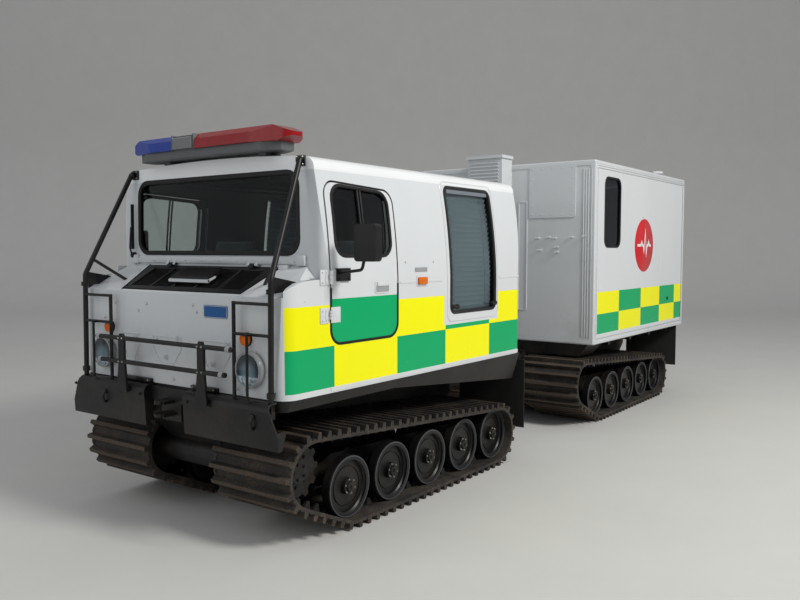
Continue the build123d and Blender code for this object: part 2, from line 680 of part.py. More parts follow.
barrel = on_heading(*barrel_span, barrel_outer) + on_heading(0, barrel_span[0] + 5, 19)
barrel += rod((anchor_x, anchor_y, pivot_z - eye_half), (anchor_x, anchor_y, pivot_z + eye_half), eye_radius)
barrel -= on_heading(62, barrel_span[1] + 1, rod_radius + seat_gap)
barrel -= rod((anchor_x, anchor_y, pivot_z - 30), (anchor_x, anchor_y, pivot_z + 30),
              cylinder_pin + seat_gap)
ram = on_heading(150, cylinder_length, rod_radius)
ram += rod((rod_pin_x, rod_pin_y, pivot_z - eye_half), (rod_pin_x, rod_pin_y, pivot_z + eye_half),
           eye_radius)
ram += rod((rod_pin_x, rod_pin_y, pivot_z - ear_z[0] + seat_gap),
           (rod_pin_x, rod_pin_y, pivot_z + ear_z[0] - seat_gap), cylinder_pin)
save(barrel, "cylinder_barrel_left")
save(mirror(barrel, about=Plane.XZ), "cylinder_barrel_right")
save(ram, "cylinder_rod_left")
save(mirror(ram, about=Plane.XZ), "cylinder_rod_right")

# Rear chassis: centre tub, drawbar with the roll bearing, cross bearers and the tapered front apron
rear_tub_top = 690
rear_tub_front = box_front_x + 60
housing_front = flange_x - 33
housing_rear = shaft_end_x - 14
rear_side = [(box_rear_x + 40, rear_tub_top), (box_rear_x + 40, 520), (box_rear_x + 260, tub_low_z)]
rear_side += [(rear_tub_front - 160, tub_low_z), (rear_tub_front, 440), (rear_tub_front, rear_tub_top)]
rear_hull = across(rear_side, (-tub_half, tub_half))
drawbar = [(rear_tub_front, -tub_half), (rear_tub_front, tub_half), (housing_rear + 60, 105)]
drawbar += [(housing_front - 60, 105), (housing_front - 60, -105), (housing_rear + 60, -105)]
rear_hull += upward(drawbar, (pivot_z - 95, pivot_z + 95))
rear_hull += rod((housing_front, 0, pivot_z), (rear_tub_front, 0, pivot_z), 105)
rear_hull -= rod((housing_front + 1, 0, pivot_z), (housing_rear, 0, pivot_z), roll_shaft_radius + seat_gap)
bearer_count = 5
bearer_low_z = 715
apron_low_z = 668
for index in range(bearer_count):
    bearer_x = box_rear_x + 120 + index * (rear_box_length - 300) / (bearer_count - 1)
    rear_hull += block((bearer_x, bearer_x + 60), (-box_half + 140, box_half - 140),
                       (bearer_low_z, box_floor_z))
    rear_hull += block((bearer_x, bearer_x + 60), (-tub_half, tub_half), (rear_tub_top - 1, bearer_low_z + 1))
apron = [(-box_half + 60, box_floor_z), (box_half - 60, box_floor_z)]
apron += [(box_half - 150, apron_low_z), (-box_half + 150, apron_low_z)]
rear_hull += along(apron, (box_front_x - 360, box_front_x - 6))
rear_hull += drive_shafts["rear"]
save(rear_hull, "rear_hull")

# Mudflaps behind all four tracks
flap_thick = 8
flap_hang = 95
front_flap_x = body_rear_x - flap_hang
rear_flap_x = box_rear_x + 30
flap_y = (track_inner_y + 5, track_outer_y)
hanger = block((front_flap_x, body_rear_x), (flap_y[0], half_width - 70), (skirt_rear_z + 90, skirt_rear_z + 125))
front_hull += both_sides(hanger)
front_flap = block((front_flap_x - flap_thick - seat_gap, front_flap_x - seat_gap), flap_y, (230, 790))
rear_flap = block((rear_flap_x, rear_flap_x + flap_thick), flap_y, (290, box_floor_z - seat_gap))
save(both_sides(front_flap), "mudflaps_front")
save(both_sides(rear_flap), "mudflaps_rear")

# Bumper: two folded plates with rolled top edges on a cross beam, and the bored tow jaw between them
plate_inner_y = 180
plate_outer_y = half_width + 8
plate_front_x = front_end_x - 55
bumper_top_z = body_floor_z - 6
bumper_low_z = bumper_top_z - 250
beam_rear_x = hull_front_x + seat_gap
roll_radius = 44
fold = 10
roll_turns = [90, 60, 30, 0]  # degrees round the rolled edge
roll_x, roll_z = plate_front_x - roll_radius, bumper_top_z - roll_radius


def rolled(radius):
    """Points round the rolled top edge at a radius, from its top to its front."""
    return [(roll_x + radius * cos(turn * pi / 180), roll_z + radius * sin(turn * pi / 180)) for turn in roll_turns]


folded = [(beam_rear_x, bumper_top_z)] + rolled(roll_radius)
folded += [(plate_front_x - 14, bumper_low_z), (plate_front_x - 14 - fold, bumper_low_z)]
folded += rolled(roll_radius - fold)[::-1] + [(beam_rear_x, bumper_top_z - fold)]
bumper_plate = across(folded, (plate_inner_y, plate_outer_y))
gusset = [(beam_rear_x, bumper_top_z - fold), (roll_x, bumper_top_z - fold)]
gusset += [(plate_front_x - fold, roll_z), (plate_front_x - 14 - fold, bumper_low_z)]
gusset += [(plate_front_x - 40, bumper_low_z), (beam_rear_x, bumper_top_z - 140)]
for y in (plate_inner_y, 540, plate_outer_y - fold):
    bumper_plate += across(gusset, (y, y + fold))
corner = [(plate_outer_y - 80, bumper_top_z + 5), (plate_outer_y + 5, bumper_top_z + 5)]
corner += [(plate_outer_y + 5, bumper_top_z - 172), (plate_outer_y, bumper_top_z - 172)]
bumper_plate -= along(corner, (beam_rear_x - 5, plate_front_x + 5))
bumper = both_sides(bumper_plate)
bumper += block((beam_rear_x, beam_rear_x + 30), (-plate_outer_y + 90, plate_outer_y - 90),
                (bumper_top_z - 95, bumper_top_z - fold))
jaw_z = bumper_top_z - 120
jaw_pin_x = front_end_x - 28
jaw_pin_radius = 14
bumper += block((beam_rear_x, beam_rear_x + 20), (-90, 90), (jaw_z - 85, jaw_z + 80))
for low, high in ((28, 48), (-48, -28)):
    bumper += block((beam_rear_x, jaw_pin_x), (-45, 45), (jaw_z + low, jaw_z + high))
    bumper += rod((jaw_pin_x, 0, jaw_z + low), (jaw_pin_x, 0, jaw_z + high), 28)
bumper -= rod((jaw_pin_x, 0, jaw_z - 60), (jaw_pin_x, 0, jaw_z + 60), jaw_pin_radius)
save(bumper, "bumper")

# Guard bars on the nose: two risers to the roof corners, lamp guards and the centre guard
riser_radius = 16
riser_y = half_width - 78
riser_foot_x = nose_x - 44
riser_knee = (nose_x - 50, riser_y, body_floor_z + 654)
riser_top = (screen_x + 26, half_width - 158, 2186)
brace_share = 0.15
riser = tube([(riser_foot_x, riser_y, bumper_top_z + 2 * seat_gap), riser_knee, riser_top], riser_radius, 60)
riser += rod(riser_top, (screen_x + seat_gap, riser_top[1], riser_top[2]), riser_radius - 4)
brace_start = [low + (high - low) * brace_share for low, high in zip(riser_knee, riser_top)]
riser += rod(brace_start, (screen_x + 170, riser_y - 227, 1470), 10)
knee_plate = [(riser_knee[0], riser_knee[2] + 19), (riser_knee[0], riser_knee[2] - 76)]
knee_plate += [(nose_x - 190, hood_front_z + 35), (nose_x - 240, hood_front_z + 60), (nose_x - 240, hood_front_z + 83)]
riser += across(knee_plate, (riser_y - 3, riser_y + 3))
lamp_x = riser_foot_x
inner_post_y = 572
guard_top_z, guard_low_z = body_floor_z + 523, body_floor_z + 353
for z in (guard_top_z, guard_low_z):
    riser += rod((lamp_x + 1, inner_post_y, z), (lamp_x + 1, riser_y, z), 9)
riser += rod((lamp_x + 1, inner_post_y, bumper_top_z + seat_gap), (lamp_x + 1, inner_post_y, guard_top_z + 9), 11)
riser += rod((lamp_x + 36, 712, guard_low_z), (lamp_x + 36, 712, bumper_top_z + seat_gap), 8)
riser += rod((lamp_x + 1, 712, guard_low_z), (lamp_x + 44, 712, guard_low_z), 8)
riser -= hood_form(-seat_gap, body_floor_z)
riser -= bumper_plate
guard_bars = both_sides(riser)
centre_x = front_end_x - 40
post_y = 370
centre_tubes = [(body_floor_z + 270, -630, 640), (body_floor_z + 125, -620, 570)]  # height, low y, high y
for z, low, high in centre_tubes:
    guard_bars += rod((centre_x, low, z), (centre_x, high, z), 14)
post_top_z = body_floor_z + 298
for y in (post_y, -post_y):
    flare = [(y - 50, roll_z - 12), (y + 50, roll_z - 12), (y + 28, bumper_top_z + 140)]
    flare += [(y + 28, post_top_z - 30), (y + 14, post_top_z), (y - 14, post_top_z)]
    flare += [(y - 28, post_top_z - 30), (y - 28, bumper_top_z + 140)]
    guard_bars += along(flare, (centre_x - 8, centre_x + 8))
    guard_bars += block((plate_front_x + seat_gap, centre_x), (y - 45, y + 45), (roll_z - 10, roll_z + 10))
save(guard_bars, "guard_bars")

# Lamps
lamp_y, lamp_z, lamp_radius = 678, body_floor_z + 155, 88
indicator_z = body_floor_z + 320
panel_lean = atan2(front_panel_low_x - front_panel_top_x, hood_front_z - body_floor_z)


def panel_x(z):
    """X of the front panel's outer face at a height."""
    share = (z - body_floor_z) / (hood_front_z - body_floor_z)
    return front_panel_low_x + (front_panel_top_x - front_panel_low_x) * share


def lamp(y, z, radius, depth):
    """A round lamp with a domed lens, seated on the leaning front panel."""
    seat = Plane(origin=(panel_x(z), y, z), z_dir=(cos(panel_lean), 0, sin(panel_lean)))
    rim = extrude(seat.offset(seat_gap) * Circle(radius), amount=depth)
    dome = Sphere(radius * 1.6)
    centre = seat.offset(depth - radius * 1.25).location
    return rim & (centre * dome)


save(both_sides(lamp(lamp_y, lamp_z, lamp_radius, 38)), "headlamps")
save(both_sides(lamp(634, indicator_z, 34, 28)), "indicators")

# Light bar on the roof: feet, base with its centre grille box, one blue and one red lens
bar_x = (nose_x - 537, nose_x - 273)
bar_half = 720
bar_box_y = (-235, -30)
bar_low_z = 2250
bar_base_z = 2298
bar_top_z = 2392
bar_bow = 62  # how far the lens ends draw in from each long side
base_plan = [(bar_x[1] - 18, 520), (bar_x[1] - 80, bar_half - 75), (bar_x[0] + 80, bar_half - 75), (bar_x[0] + 18, 520)]
base_plan += [(x, -y) for x, y in base_plan[::-1]]
light_bar = upward(base_plan, (bar_low_z, bar_base_z))
light_bar += block((bar_x[0] + 12, bar_x[1] - 12), bar_box_y, (bar_base_z, bar_top_z - 8))
for y in (-440, 440):
    for x in (screen_x - 115, screen_x - 30):
        light_bar += block((x - 22, x + 22), (y - 30, y + 30), (front_roof_z - 60, bar_low_z))
light_bar -= cab_form(-seat_gap, body_floor_z)
save(light_bar, "light_bar")


def bar_lens(inner_y):
    """A lens from inner_y to the bar's left end, its end drawn in like a bow in plan and in height."""
    low, top = bar_base_z + seat_gap, bar_top_z
    section = [(bar_x[0], low), (bar_x[1], low), (bar_x[1] - 8, top - 34), (bar_x[1] - 45, top)]
    section += [(bar_x[0] + 45, top), (bar_x[0] + 8, top - 34)]
    plan = [(bar_x[0], inner_y), (bar_x[1], inner_y), (bar_x[1], bar_half - 270)]
    plan += [(bar_x[1] - bar_bow, bar_half), (bar_x[0] + bar_bow, bar_half), (bar_x[0], bar_half - 270)]
    column = upward(plan, (low, top))
    column = fillet(column.edges().filter_by(Axis.Z).sort_by(Axis.Y)[-2:], bar_bow)
    bow = [(inner_y, low), (bar_half - 70, low), (bar_half, low + 30), (bar_half, top - 40)]
    bow += [(bar_half - 110, top), (inner_y, top)]
    return across(section, (inner_y, bar_half)) & column & along(bow, bar_x)


save(bar_lens(bar_box_y[1] + seat_gap), "lens_red")
save(mirror(bar_lens(seat_gap - bar_box_y[0]), about=Plane.XZ), "lens_blue")

# The driver's door mirror on a bent arm, on a bracket behind the upper door hinge
mirror_x = nose_x - 500
far_mirror_back = 190
mirror_y = (1083, 1237)
mirror_z = (1612, 1820)
arm_seat_y = half_width + seat_gap
bracket_x = (door_hinge_x - hinge_strap - 126, door_hinge_x - hinge_strap - 6)
bracket_z = (1498, 1572)
mirror_left = block((mirror_x - 25, mirror_x + 30), mirror_y, mirror_z)
mirror_left = fillet(mirror_left.edges().filter_by(Axis.X), 22)
arm_points = [(bracket_x[1] - 20, arm_seat_y + 8, 1545), (mirror_x + 5, 1120, 1565), (mirror_x, 1140, 1650)]
mirror_left += tube(arm_points, 9, 25)
mirror_left += block(bracket_x, (arm_seat_y, arm_seat_y + 14), bracket_z)
mirror_left -= cab_form(-seat_gap, body_floor_z)
save(mirror_left, "mirror_left")
# The far mirror stands further back, where the cab hides it in the photo
mirror_right = mirror(mirror_left, about=Plane.XZ).moved(Location((-far_mirror_back, 0, 0)))
save(mirror_right, "mirror_right")

# Cab interior: two seats, the engine cover with the dashboard, and the steering wheel
seat_y = (300, 740)
seat_x = door_rear_x + 20
seat_side = [(seat_x, body_floor_z + seat_gap), (seat_x + 470, body_floor_z + seat_gap), (seat_x + 510, 1270)]
seat_side += [(seat_x + 130, 1250), (seat_x + 30, 1760), (seat_x - 90, 1760), (seat_x, 1180)]
save(both_sides(across(seat_side, seat_y)), "cab_seats")
dash_x = (screen_x - 230, screen_x - cab_wall - seat_gap)
dash_side = [(dash_x[0], 1330), (dash_x[1], 1300), (dash_x[1], 1560), (dash_x[0] + 60, 1560), (dash_x[0], 1480)]
dashboard = across(dash_side, (-half_width + 90, half_width - 90))
cover_outer = block((engine_x[0] - 60, dash_x[1]), (-285, 285), (hull_top_z + seat_gap, 1330))
cover_inner = block((engine_x[0] - 45, dash_x[1] + 5), (-270, 270), (hull_top_z, 1315))
dashboard = dashboard + (cover_outer - cover_inner)
save(dashboard, "dashboard")
wheel_centre = (dash_x[0] - 150, 520, 1520)
column = rod((dash_x[0] - seat_gap, 520, 1415), wheel_centre, 20)
column_axis = Vector(wheel_centre[0] - dash_x[0], 0, wheel_centre[2] - 1415).normalized()
rim_plane = Plane(origin=wheel_centre, z_dir=column_axis)
steering_wheel = rim_plane.location * (Cylinder(200, 20) - Cylinder(178, 20))
for turn in (90, 210, 330):
    spoke = rim_plane.location * Rot(0, 0, turn) * Pos(95, 0, 0) * Box(190, 26, 12)
    steering_wheel += spoke
steering_wheel += rim_plane.location * Cylinder(38, 24)
steering_wheel += column
steering_wheel -= block((dash_x[0] - seat_gap, dash_x[0] + 40), (400, 640), (1300, 1600))
save(steering_wheel, "steering_wheel")
save(front_hull, "front_hull")

# Rear box: an edge cage of rounded mouldings with flat panels set into it
edge_width = 50
panel_inset = 5
box_x = (box_rear_x, box_front_x)
box_y = (-box_half, box_half)
box_z = (box_floor_z, box_roof_z)
cage = block(box_x, box_y, box_z)
cage = fillet(cage.edges(), 16)


def inset(pair, amount):
    """A (low, high) pair drawn in by an amount at both ends."""
    return (pair[0] + amount, pair[1] - amount)


inner_x, inner_y, inner_z = inset(box_x, edge_width), inset(box_y, edge_width), inset(box_z, edge_width)
cage -= block(inset(box_x, -5), inner_y, inner_z)
cage -= block(inner_x, inset(box_y, -5), inner_z)
cage -= block(inner_x, inner_y, inset(box_z, -5))
save(cage, "box_mouldings")

tall_window_x = (box_front_x - 640, box_front_x - 238)
tall_window_z = (1710, 2375)
tall_corners = [(tall_window_x[0], tall_window_z[0]), (tall_window_x[1], tall_window_z[0])]
tall_corners += [(tall_window_x[1], tall_window_z[1]), (tall_window_x[0], tall_window_z[1])]
tall_span = (box_half - 100, box_half + 20)
tall_prism = rounded_window(tall_corners, 75, tall_span)
side_panel = block(inner_x, (box_half - panel_inset - box_wall, box_half - panel_inset), inner_z) - tall_prism
save(both_sides(side_panel), "box_sides")
front_wall = block((box_front_x - panel_inset - box_wall, box_front_x - panel_inset), inner_y, inner_z)
save(front_wall, "box_front_wall")
roof_panel = block(inner_x, inner_y, (box_roof_z - panel_inset - box_wall, box_roof_z - panel_inset))
vent_dome = (box_rear_x + 560, 800)
roof_panel += rod((*vent_dome, box_roof_z - panel_inset - 5), (*vent_dome, box_roof_z + 35), 70)
roof_panel += rod((*vent_dome, box_roof_z + 35), (*vent_dome, box_roof_z + 60), 95)
save(roof_panel, "box_roof")
save(block(inner_x, inner_y, (box_floor_z, box_floor_z + box_wall)), "box_floor")

# Rear doors: two leaves hung on outer hinges, each with a window
leaf_gap = 10
leaf_y = (6, inner_y[1] - leaf_gap)
leaf_z = inset(inner_z, leaf_gap)
leaf_x = (box_rear_x + 4, box_rear_x + 4 + box_wall)
leaf_hinge_y = inner_y[1] + 1
leaf_hinge_radius = 9
leaf_hinge_x = box_rear_x - door_hardware + leaf_hinge_radius
leaf_window_y = (200, 700)
leaf_window_z = (1600, 2200)
leaf_hinge_rows = [1000, 1650, 2300]  # middle height of each hinge


def leaf_window(gap, x):
    """The rounded window outline of the left rear door, carried along X."""
    low_y, high_y = inset(leaf_window_y, gap)
    low_z, high_z = inset(leaf_window_z, gap)
    outline = Polyline((x[0], low_y, low_z), (x[0], high_y, low_z), (x[0], high_y, high_z),
                       (x[0], low_y, high_z), close=True)
    return extrude(fillet(make_face(outline).vertices(), 70 - gap), amount=x[1] - x[0], dir=(1, 0, 0))


leaf = block(leaf_x, leaf_y, leaf_z) - leaf_window(0, (box_rear_x - 20, box_rear_x + 80))
leaf_hinges_fixed = []
for middle in leaf_hinge_rows:
    ends = [(leaf_hinge_x, leaf_hinge_y, middle - 60), (leaf_hinge_x, leaf_hinge_y, middle + 60)]
    fixed = rod(*ends, 4)
    for low, high in ((-60, -22), (22, 60)):
        fixed += rod((leaf_hinge_x, leaf_hinge_y, middle + low),
                     (leaf_hinge_x, leaf_hinge_y, middle + high), leaf_hinge_radius)
        fixed += block((leaf_hinge_x, box_rear_x - seat_gap), (leaf_hinge_y, leaf_hinge_y + 32),
                       (middle + low, middle + high))
    leaf_hinges_fixed.append(fixed)
    moving = rod((leaf_hinge_x, leaf_hinge_y, middle - 20), (leaf_hinge_x, leaf_hinge_y, middle + 20),
                 leaf_hinge_radius)
    strap_z = (middle - 20, middle + 20)
    moving += block((leaf_hinge_x - 3, box_rear_x - 1), (leaf_hinge_y - 75, leaf_hinge_y), strap_z)
    moving += block((box_rear_x - 2, leaf_x[0]), (leaf_hinge_y - 75, leaf_y[1]), strap_z)
    leaf += moving - rod(*ends, 4 + seat_gap)
hinge_set = Compound(leaf_hinges_fixed)
save(Compound([hinge_set, mirror(hinge_set, about=Plane.XZ)]), "rear_door_hinges")
save(leaf, "rear_door_left")
save(mirror(leaf, about=Plane.XZ), "rear_door_right")
leaf_pane_x = (leaf_x[0] + 14, leaf_x[0] + 14 + glass_thick)
leaf_glass = leaf_window(seat_gap, leaf_pane_x)
save(leaf_glass, "rear_glass_left")
save(mirror(leaf_glass, about=Plane.XZ), "rear_glass_right")
tall_pane_y = (box_half - panel_inset - 12 - glass_thick, box_half - panel_inset - 12)
tall_glass = rounded_window(shrink(tall_corners, seat_gap), 75 - seat_gap, tall_pane_y)
save(both_sides(tall_glass), "box_windows")

# Vent box at the top of the rear car's front wall
vent_y = (-280, 100)
vent_x = box_front_x - panel_inset + seat_gap
vent_side = [(vent_x, 2200), (vent_x + 205, 2330), (vent_x + 205, 2572), (vent_x, 2572)]
vent_box = across(vent_side, vent_y) - across([(vent_x + 12, 2225), (vent_x + 193, 2340),
                                              (vent_x + 193, 2560), (vent_x + 12, 2560)], inset(vent_y, 12))
vent_box -= block((vent_x + 45, vent_x + 165), inset(vent_y, 45), (2150, 2400))
vent_box += block((vent_x, vent_x + 222), inset(vent_y, -14), (2572, 2602))
vent_box -= cage
save(vent_box, "vent_box")

# Stretcher on its stand inside the rear car
bed_x = (box_rear_x + 300, box_rear_x + 2200)
bed_y = (-820, -300)
floor_top = box_floor_z + box_wall
stretcher = block(bed_x, bed_y, (floor_top + 420, floor_top + 500))
for x in (bed_x[0] + 150, bed_x[1] - 150):
    for y in (bed_y[0] + 60, bed_y[1] - 60):
        stretcher += rod((x, y, floor_top + seat_gap), (x, y, floor_top + 430), 18)
save(stretcher, "stretcher")
tips = [spot[0] for spot in loop_spots(front_last_wheel_x, belt_thick, grouser_pitch)
        if spot[1] < belt_thick + grouser_height]
print("grouser tips", [round(x, 1) for x in tips])
print("pivot", round(pivot_x, 1), "pitch", round(pitch_x, 1), "flange", round(flange_x, 1))
print("door hinge", round(door_hinge_x, 1), round(door_hinge_y, 1))
print("hatch pin", round(hatch_pin_x, 1), round(hatch_pin_z, 1))
print("leaf hinge", round(leaf_hinge_x, 1), round(leaf_hinge_y, 1))
print("cylinder pins", round(anchor_x, 1), round(anchor_y, 1), round(rod_pin_x, 1), round(rod_pin_y, 1))
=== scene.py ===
import json
from math import atan2, ceil, cos, hypot, pi, radians, sin, tan

import bmesh
import bpy
from mathutils import Matrix, Vector


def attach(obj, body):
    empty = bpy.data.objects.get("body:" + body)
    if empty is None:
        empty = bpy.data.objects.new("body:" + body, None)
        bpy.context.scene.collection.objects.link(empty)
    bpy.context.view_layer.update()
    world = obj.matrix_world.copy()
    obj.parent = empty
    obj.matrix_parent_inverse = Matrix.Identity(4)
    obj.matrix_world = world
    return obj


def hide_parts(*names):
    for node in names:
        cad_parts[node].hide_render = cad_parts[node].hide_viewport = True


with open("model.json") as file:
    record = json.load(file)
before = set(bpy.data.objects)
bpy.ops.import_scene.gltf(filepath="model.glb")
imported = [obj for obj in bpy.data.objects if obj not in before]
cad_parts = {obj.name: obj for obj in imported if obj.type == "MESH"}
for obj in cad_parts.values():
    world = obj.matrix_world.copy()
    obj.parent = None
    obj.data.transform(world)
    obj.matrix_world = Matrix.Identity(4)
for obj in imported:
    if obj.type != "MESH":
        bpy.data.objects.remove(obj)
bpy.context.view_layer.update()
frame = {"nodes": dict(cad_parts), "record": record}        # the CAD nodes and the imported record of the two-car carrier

cadNodes = frame["nodes"]
bothSides = (("Left", 1), ("Right", -1))


# Shader sums: one socket wrapped so that masks can be written as plain arithmetic

class Socket:
    def __init__(self, finish, socket):
        self.finish, self.socket = finish, socket

    def sum(self, operation, *terms):
        return self.finish.add("ShaderNodeMath", {"operation": operation}, dict(enumerate(terms)))

    def __rsub__(self, other):
        return self.sum("SUBTRACT", other, self)

    def __abs__(self):
        return self.sum("ABSOLUTE", self)

    def within(self, low, high):
        return (self > low) * (self < high)

    def ramp(self, low, high):
        inputs = {0: self, 1: low, 2: high}
        return self.finish.add("ShaderNodeMapRange", {"interpolation_type": "SMOOTHSTEP"}, inputs)

    def axes(self):
        parts = addNode(self.finish.tree, "ShaderNodeSeparateXYZ", {}, {0: self})
        return [Socket(self.finish, part) for part in parts]


def pairSum(operation):
    return lambda self, other: self.sum(operation, self, other)


for operator, operation in {
        "__add__": "ADD", "__radd__": "ADD", "__sub__": "SUBTRACT", "__mul__": "MULTIPLY", "__rmul__": "MULTIPLY",
        "__mod__": "FLOORED_MODULO", "__pow__": "POWER", "__gt__": "GREATER_THAN", "__lt__": "LESS_THAN",
        "either": "MAXIMUM"}.items():
    setattr(Socket, operator, pairSum(operation))


def addNode(tree, kind, settings, inputs):
    # an input is given a plain value, another node's output, or that output wrapped
    node = tree.nodes.new(kind)
    for key, setting in settings.items():
        setattr(node, key, setting)
    for key, given in inputs.items():
        given = given.socket if isinstance(given, Socket) else given
        if isinstance(given, bpy.types.NodeSocket):
            tree.links.new(given, node.inputs[key])
        else:
            node.inputs[key].default_value = given
    return node.outputs


class Finish:
    def __init__(self, name, **constants):
        self.material = bpy.data.materials.new(name)
        self.material.use_nodes = True
        self.tree = self.material.node_tree
        self.tree.nodes.clear()
        out = self.tree.nodes.new("ShaderNodeOutputMaterial")
        self.shader = self.tree.nodes.new("ShaderNodeBsdfPrincipled")
        self.tree.links.new(self.shader.outputs[0], out.inputs[0])
        coords = self.tree.nodes.new("ShaderNodeTexCoord").outputs
        self.place, self.facing = Socket(self, coords["Object"]), Socket(self, coords["Normal"])
        for socket, value in constants.items():
            self.shader.inputs[socket.replace("_", " ")].default_value = value

    def add(self, kind, settings, inputs, output=0):
        return Socket(self, addNode(self.tree, kind, settings, inputs)[output])

    def noise(self, scale, detail=4, stretch=(1, 1, 1)):
        spot = self.add("ShaderNodeMapping", {}, {"Vector": self.place, "Scale": stretch})
        inputs = {"Vector": spot, "Scale": scale, "Detail": detail, "Roughness": 0.6}
        return self.add("ShaderNodeTexNoise", {}, inputs)

    def blend(self, amount, first, second):
        return self.add("ShaderNodeMix", {"data_type": "RGBA"}, {0: amount, 6: first, 7: second}, 2)

    def done(self, colour, rough, relief=None, **others):
        # feeds the shader; relief is a height, its strength and its distance
        feeds = {"Base Color": colour, "Roughness": rough, **others}
        if relief:
            inputs = dict(zip(("Height", "Strength", "Distance"), relief))
            feeds["Normal"] = self.add("ShaderNodeBump", {}, inputs)
        for name, value in feeds.items():
            self.tree.links.new(value.socket, self.shader.inputs[name.replace("_", " ")])
        return self.material


def tone(red, green, blue):
    # a colour as a paint chart gives it, 0 to 255, turned linear
    return tuple(((c / 255 + 0.055) / 1.055) ** 2.4 if c > 10 else c / 3294 for c in (red, green, blue)) + (1,)


# Paint, rubber, glass and cloth

tones = {
    "white": tone(206, 209, 211), "green": tone(0, 162, 98), "yellow": tone(240, 236, 0),
    "black": tone(12, 11, 12), "dust": tone(139, 122, 99), "grime": tone(74, 66, 56),
    "rubber": tone(25, 22, 21), "wornRubber": tone(92, 74, 58), "iron": tone(84, 84, 82),
    "red": tone(160, 2, 14), "blue": tone(4, 54, 162), "amber": tone(240, 118, 4),
}
livery = {
    "frontColumns": (3.370, 2.918, 2.312, 1.752, 1.152, 0.690), "frontRows": (0.895, 1.131, 1.366),
    "panel": (1.022, 1.769), "panelLow": 1.160, "doorTop": 1.398, "flatHalf": 0.9375,
    "rearColumns": (-0.816, -1.373, -2.001, -2.599, -3.122, -3.402), "rearRows": (0.880, 1.070, 1.280),
}
gear = {"pitch": 0.086, "belt": 0.018, "wheelR": 0.190, "sprocketR": 0.185, "wheelZ": 0.2453}
wheels = {"front": (0.950, 2.690, 3.070, 0.410), "rear": (-2.830, -1.090, -0.710, 0.410)}  # last, first, hub, hub z
lamps = {"lamp": (0.678, 1.017), "indicator": (0.634, 1.182)}  # half distance and height of their centres


def lined(finish, colour):
    # the inner faces of a car's shell: dark felt in the cab, pale grey board in the box
    (x, y, z), (nx, ny, nz) = finish.place.axes(), finish.facing.axes()
    front = x > 0.0
    across, upward = front * 4.0 - 2.2, z - 1.55
    inward = ((x - across) * nx * 0.30 + y * ny + upward * nz) < 0
    return finish.blend(inward, colour, finish.blend(front, tone(150, 152, 150), tone(34, 36, 38)))


def dusted(finish, colour, amount, height):
    # dried dust that thickens towards the ground, in blotches with fine speckle
    blotch = finish.noise(2.3, 6).ramp(0.42, 0.70)
    speckle = finish.noise(38, 3).ramp(0.45, 0.75)
    low = 1 - finish.place.axes()[2].ramp(height * 0.3, height)
    film = (blotch * 0.65 + speckle * 0.35) * low * amount
    return finish.blend(film, colour, tones["dust"]), film


def sidePaint(name, part):
    # white enamel with the two rows of green and yellow squares on the outward faces
    finish = Finish(name, Coat_Roughness=0.12, IOR=1.24)
    x, y, z = finish.place.axes()
    outward = y * finish.facing.axes()[1] > 0.6
    if part != "rear":
        outward = outward * (abs(y) < livery["flatHalf"])
    if part == "door":
        colour = finish.blend(outward * (z < livery["doorTop"]), tones["white"], tones["green"])
    else:
        columns, rows = livery[part + "Columns"], livery[part + "Rows"]
        step = x < columns[1]
        for edge in columns[2:-1]:
            step = step + (x < edge)
        upper = z > rows[1]
        green = (step + upper + 1) % 2
        if part == "front":
            green = green * (1 - x.within(columns[2] - 0.05, columns[1] + 0.015) * upper)
            outward = outward * (1 - x.within(*livery["panel"]) * (z > livery["panelLow"]))
        mask = outward * x.within(columns[-1], columns[0]) * z.within(rows[0], rows[2])
        colour = finish.blend(mask, tones["white"], finish.blend(green, tones["yellow"], tones["green"]))
    fade = finish.noise(1.1, 3, (1, 1, 0.4)).ramp(0.3, 0.8)
    colour, film = dusted(finish, finish.blend(fade * 0.05, colour, tones["grime"]), 0.06, 1.20)
    streak = finish.noise(9, 5, (1, 1, 0.06)).ramp(0.62, 0.84) * 0.04
    colour = lined(finish, finish.blend(streak, colour, tones["grime"]))
    return finish.done(colour, film * 0.5 + 0.27 + streak * 0.6, (finish.noise(3.2, 2), 0.10, 0.02),
                       Coat_Weight=(1 - film) * 0.12)


def plainPaint(name, colour, gloss=0.30, dust=0.3, height=1.6, grain=0.0, lining=False):
    finish = Finish(name, Coat_Roughness=0.08, IOR=1.36)
    fade = finish.noise(1.4, 3).ramp(0.3, 0.8)
    shade, film = dusted(finish, finish.blend(fade * 0.06, colour, tones["grime"]), dust, height)
    streak = finish.noise(11, 5, (1, 1, 0.07)).ramp(0.62, 0.84) * 0.07
    shade = finish.blend(streak, shade, tones["grime"])
    if lining:
        shade = lined(finish, shade)
    relief = (finish.noise(240, 3) * grain + finish.noise(3.4, 2), 0.12, 0.002 if grain else 0.015)
    return finish.done(shade, film * 0.5 + gloss + streak * 0.5, relief, Coat_Weight=(1 - film) * 0.25)


def chippedMetal(name, colour, gloss=0.42, dust=0.12, height=1.4, metal=0.0):
    # painted steel with rubbed spots down to a brighter metal
    finish = Finish(name, IOR=1.4)
    chips = finish.noise(31, 6).ramp(0.68, 0.75)
    shade = finish.blend(finish.noise(5, 4).ramp(0.35, 0.75) * 0.06, colour, tones["iron"])
    shade, film = dusted(finish, finish.blend(chips * 0.12, shade, tone(150, 146, 140)), dust, height)
    return finish.done(shade, film * 0.4 + gloss, (finish.noise(90, 4) + chips * 0.5, 0.15, 0.002),
                       Metallic=(1 - film) * (chips * 0.25 + metal) * 0.8)


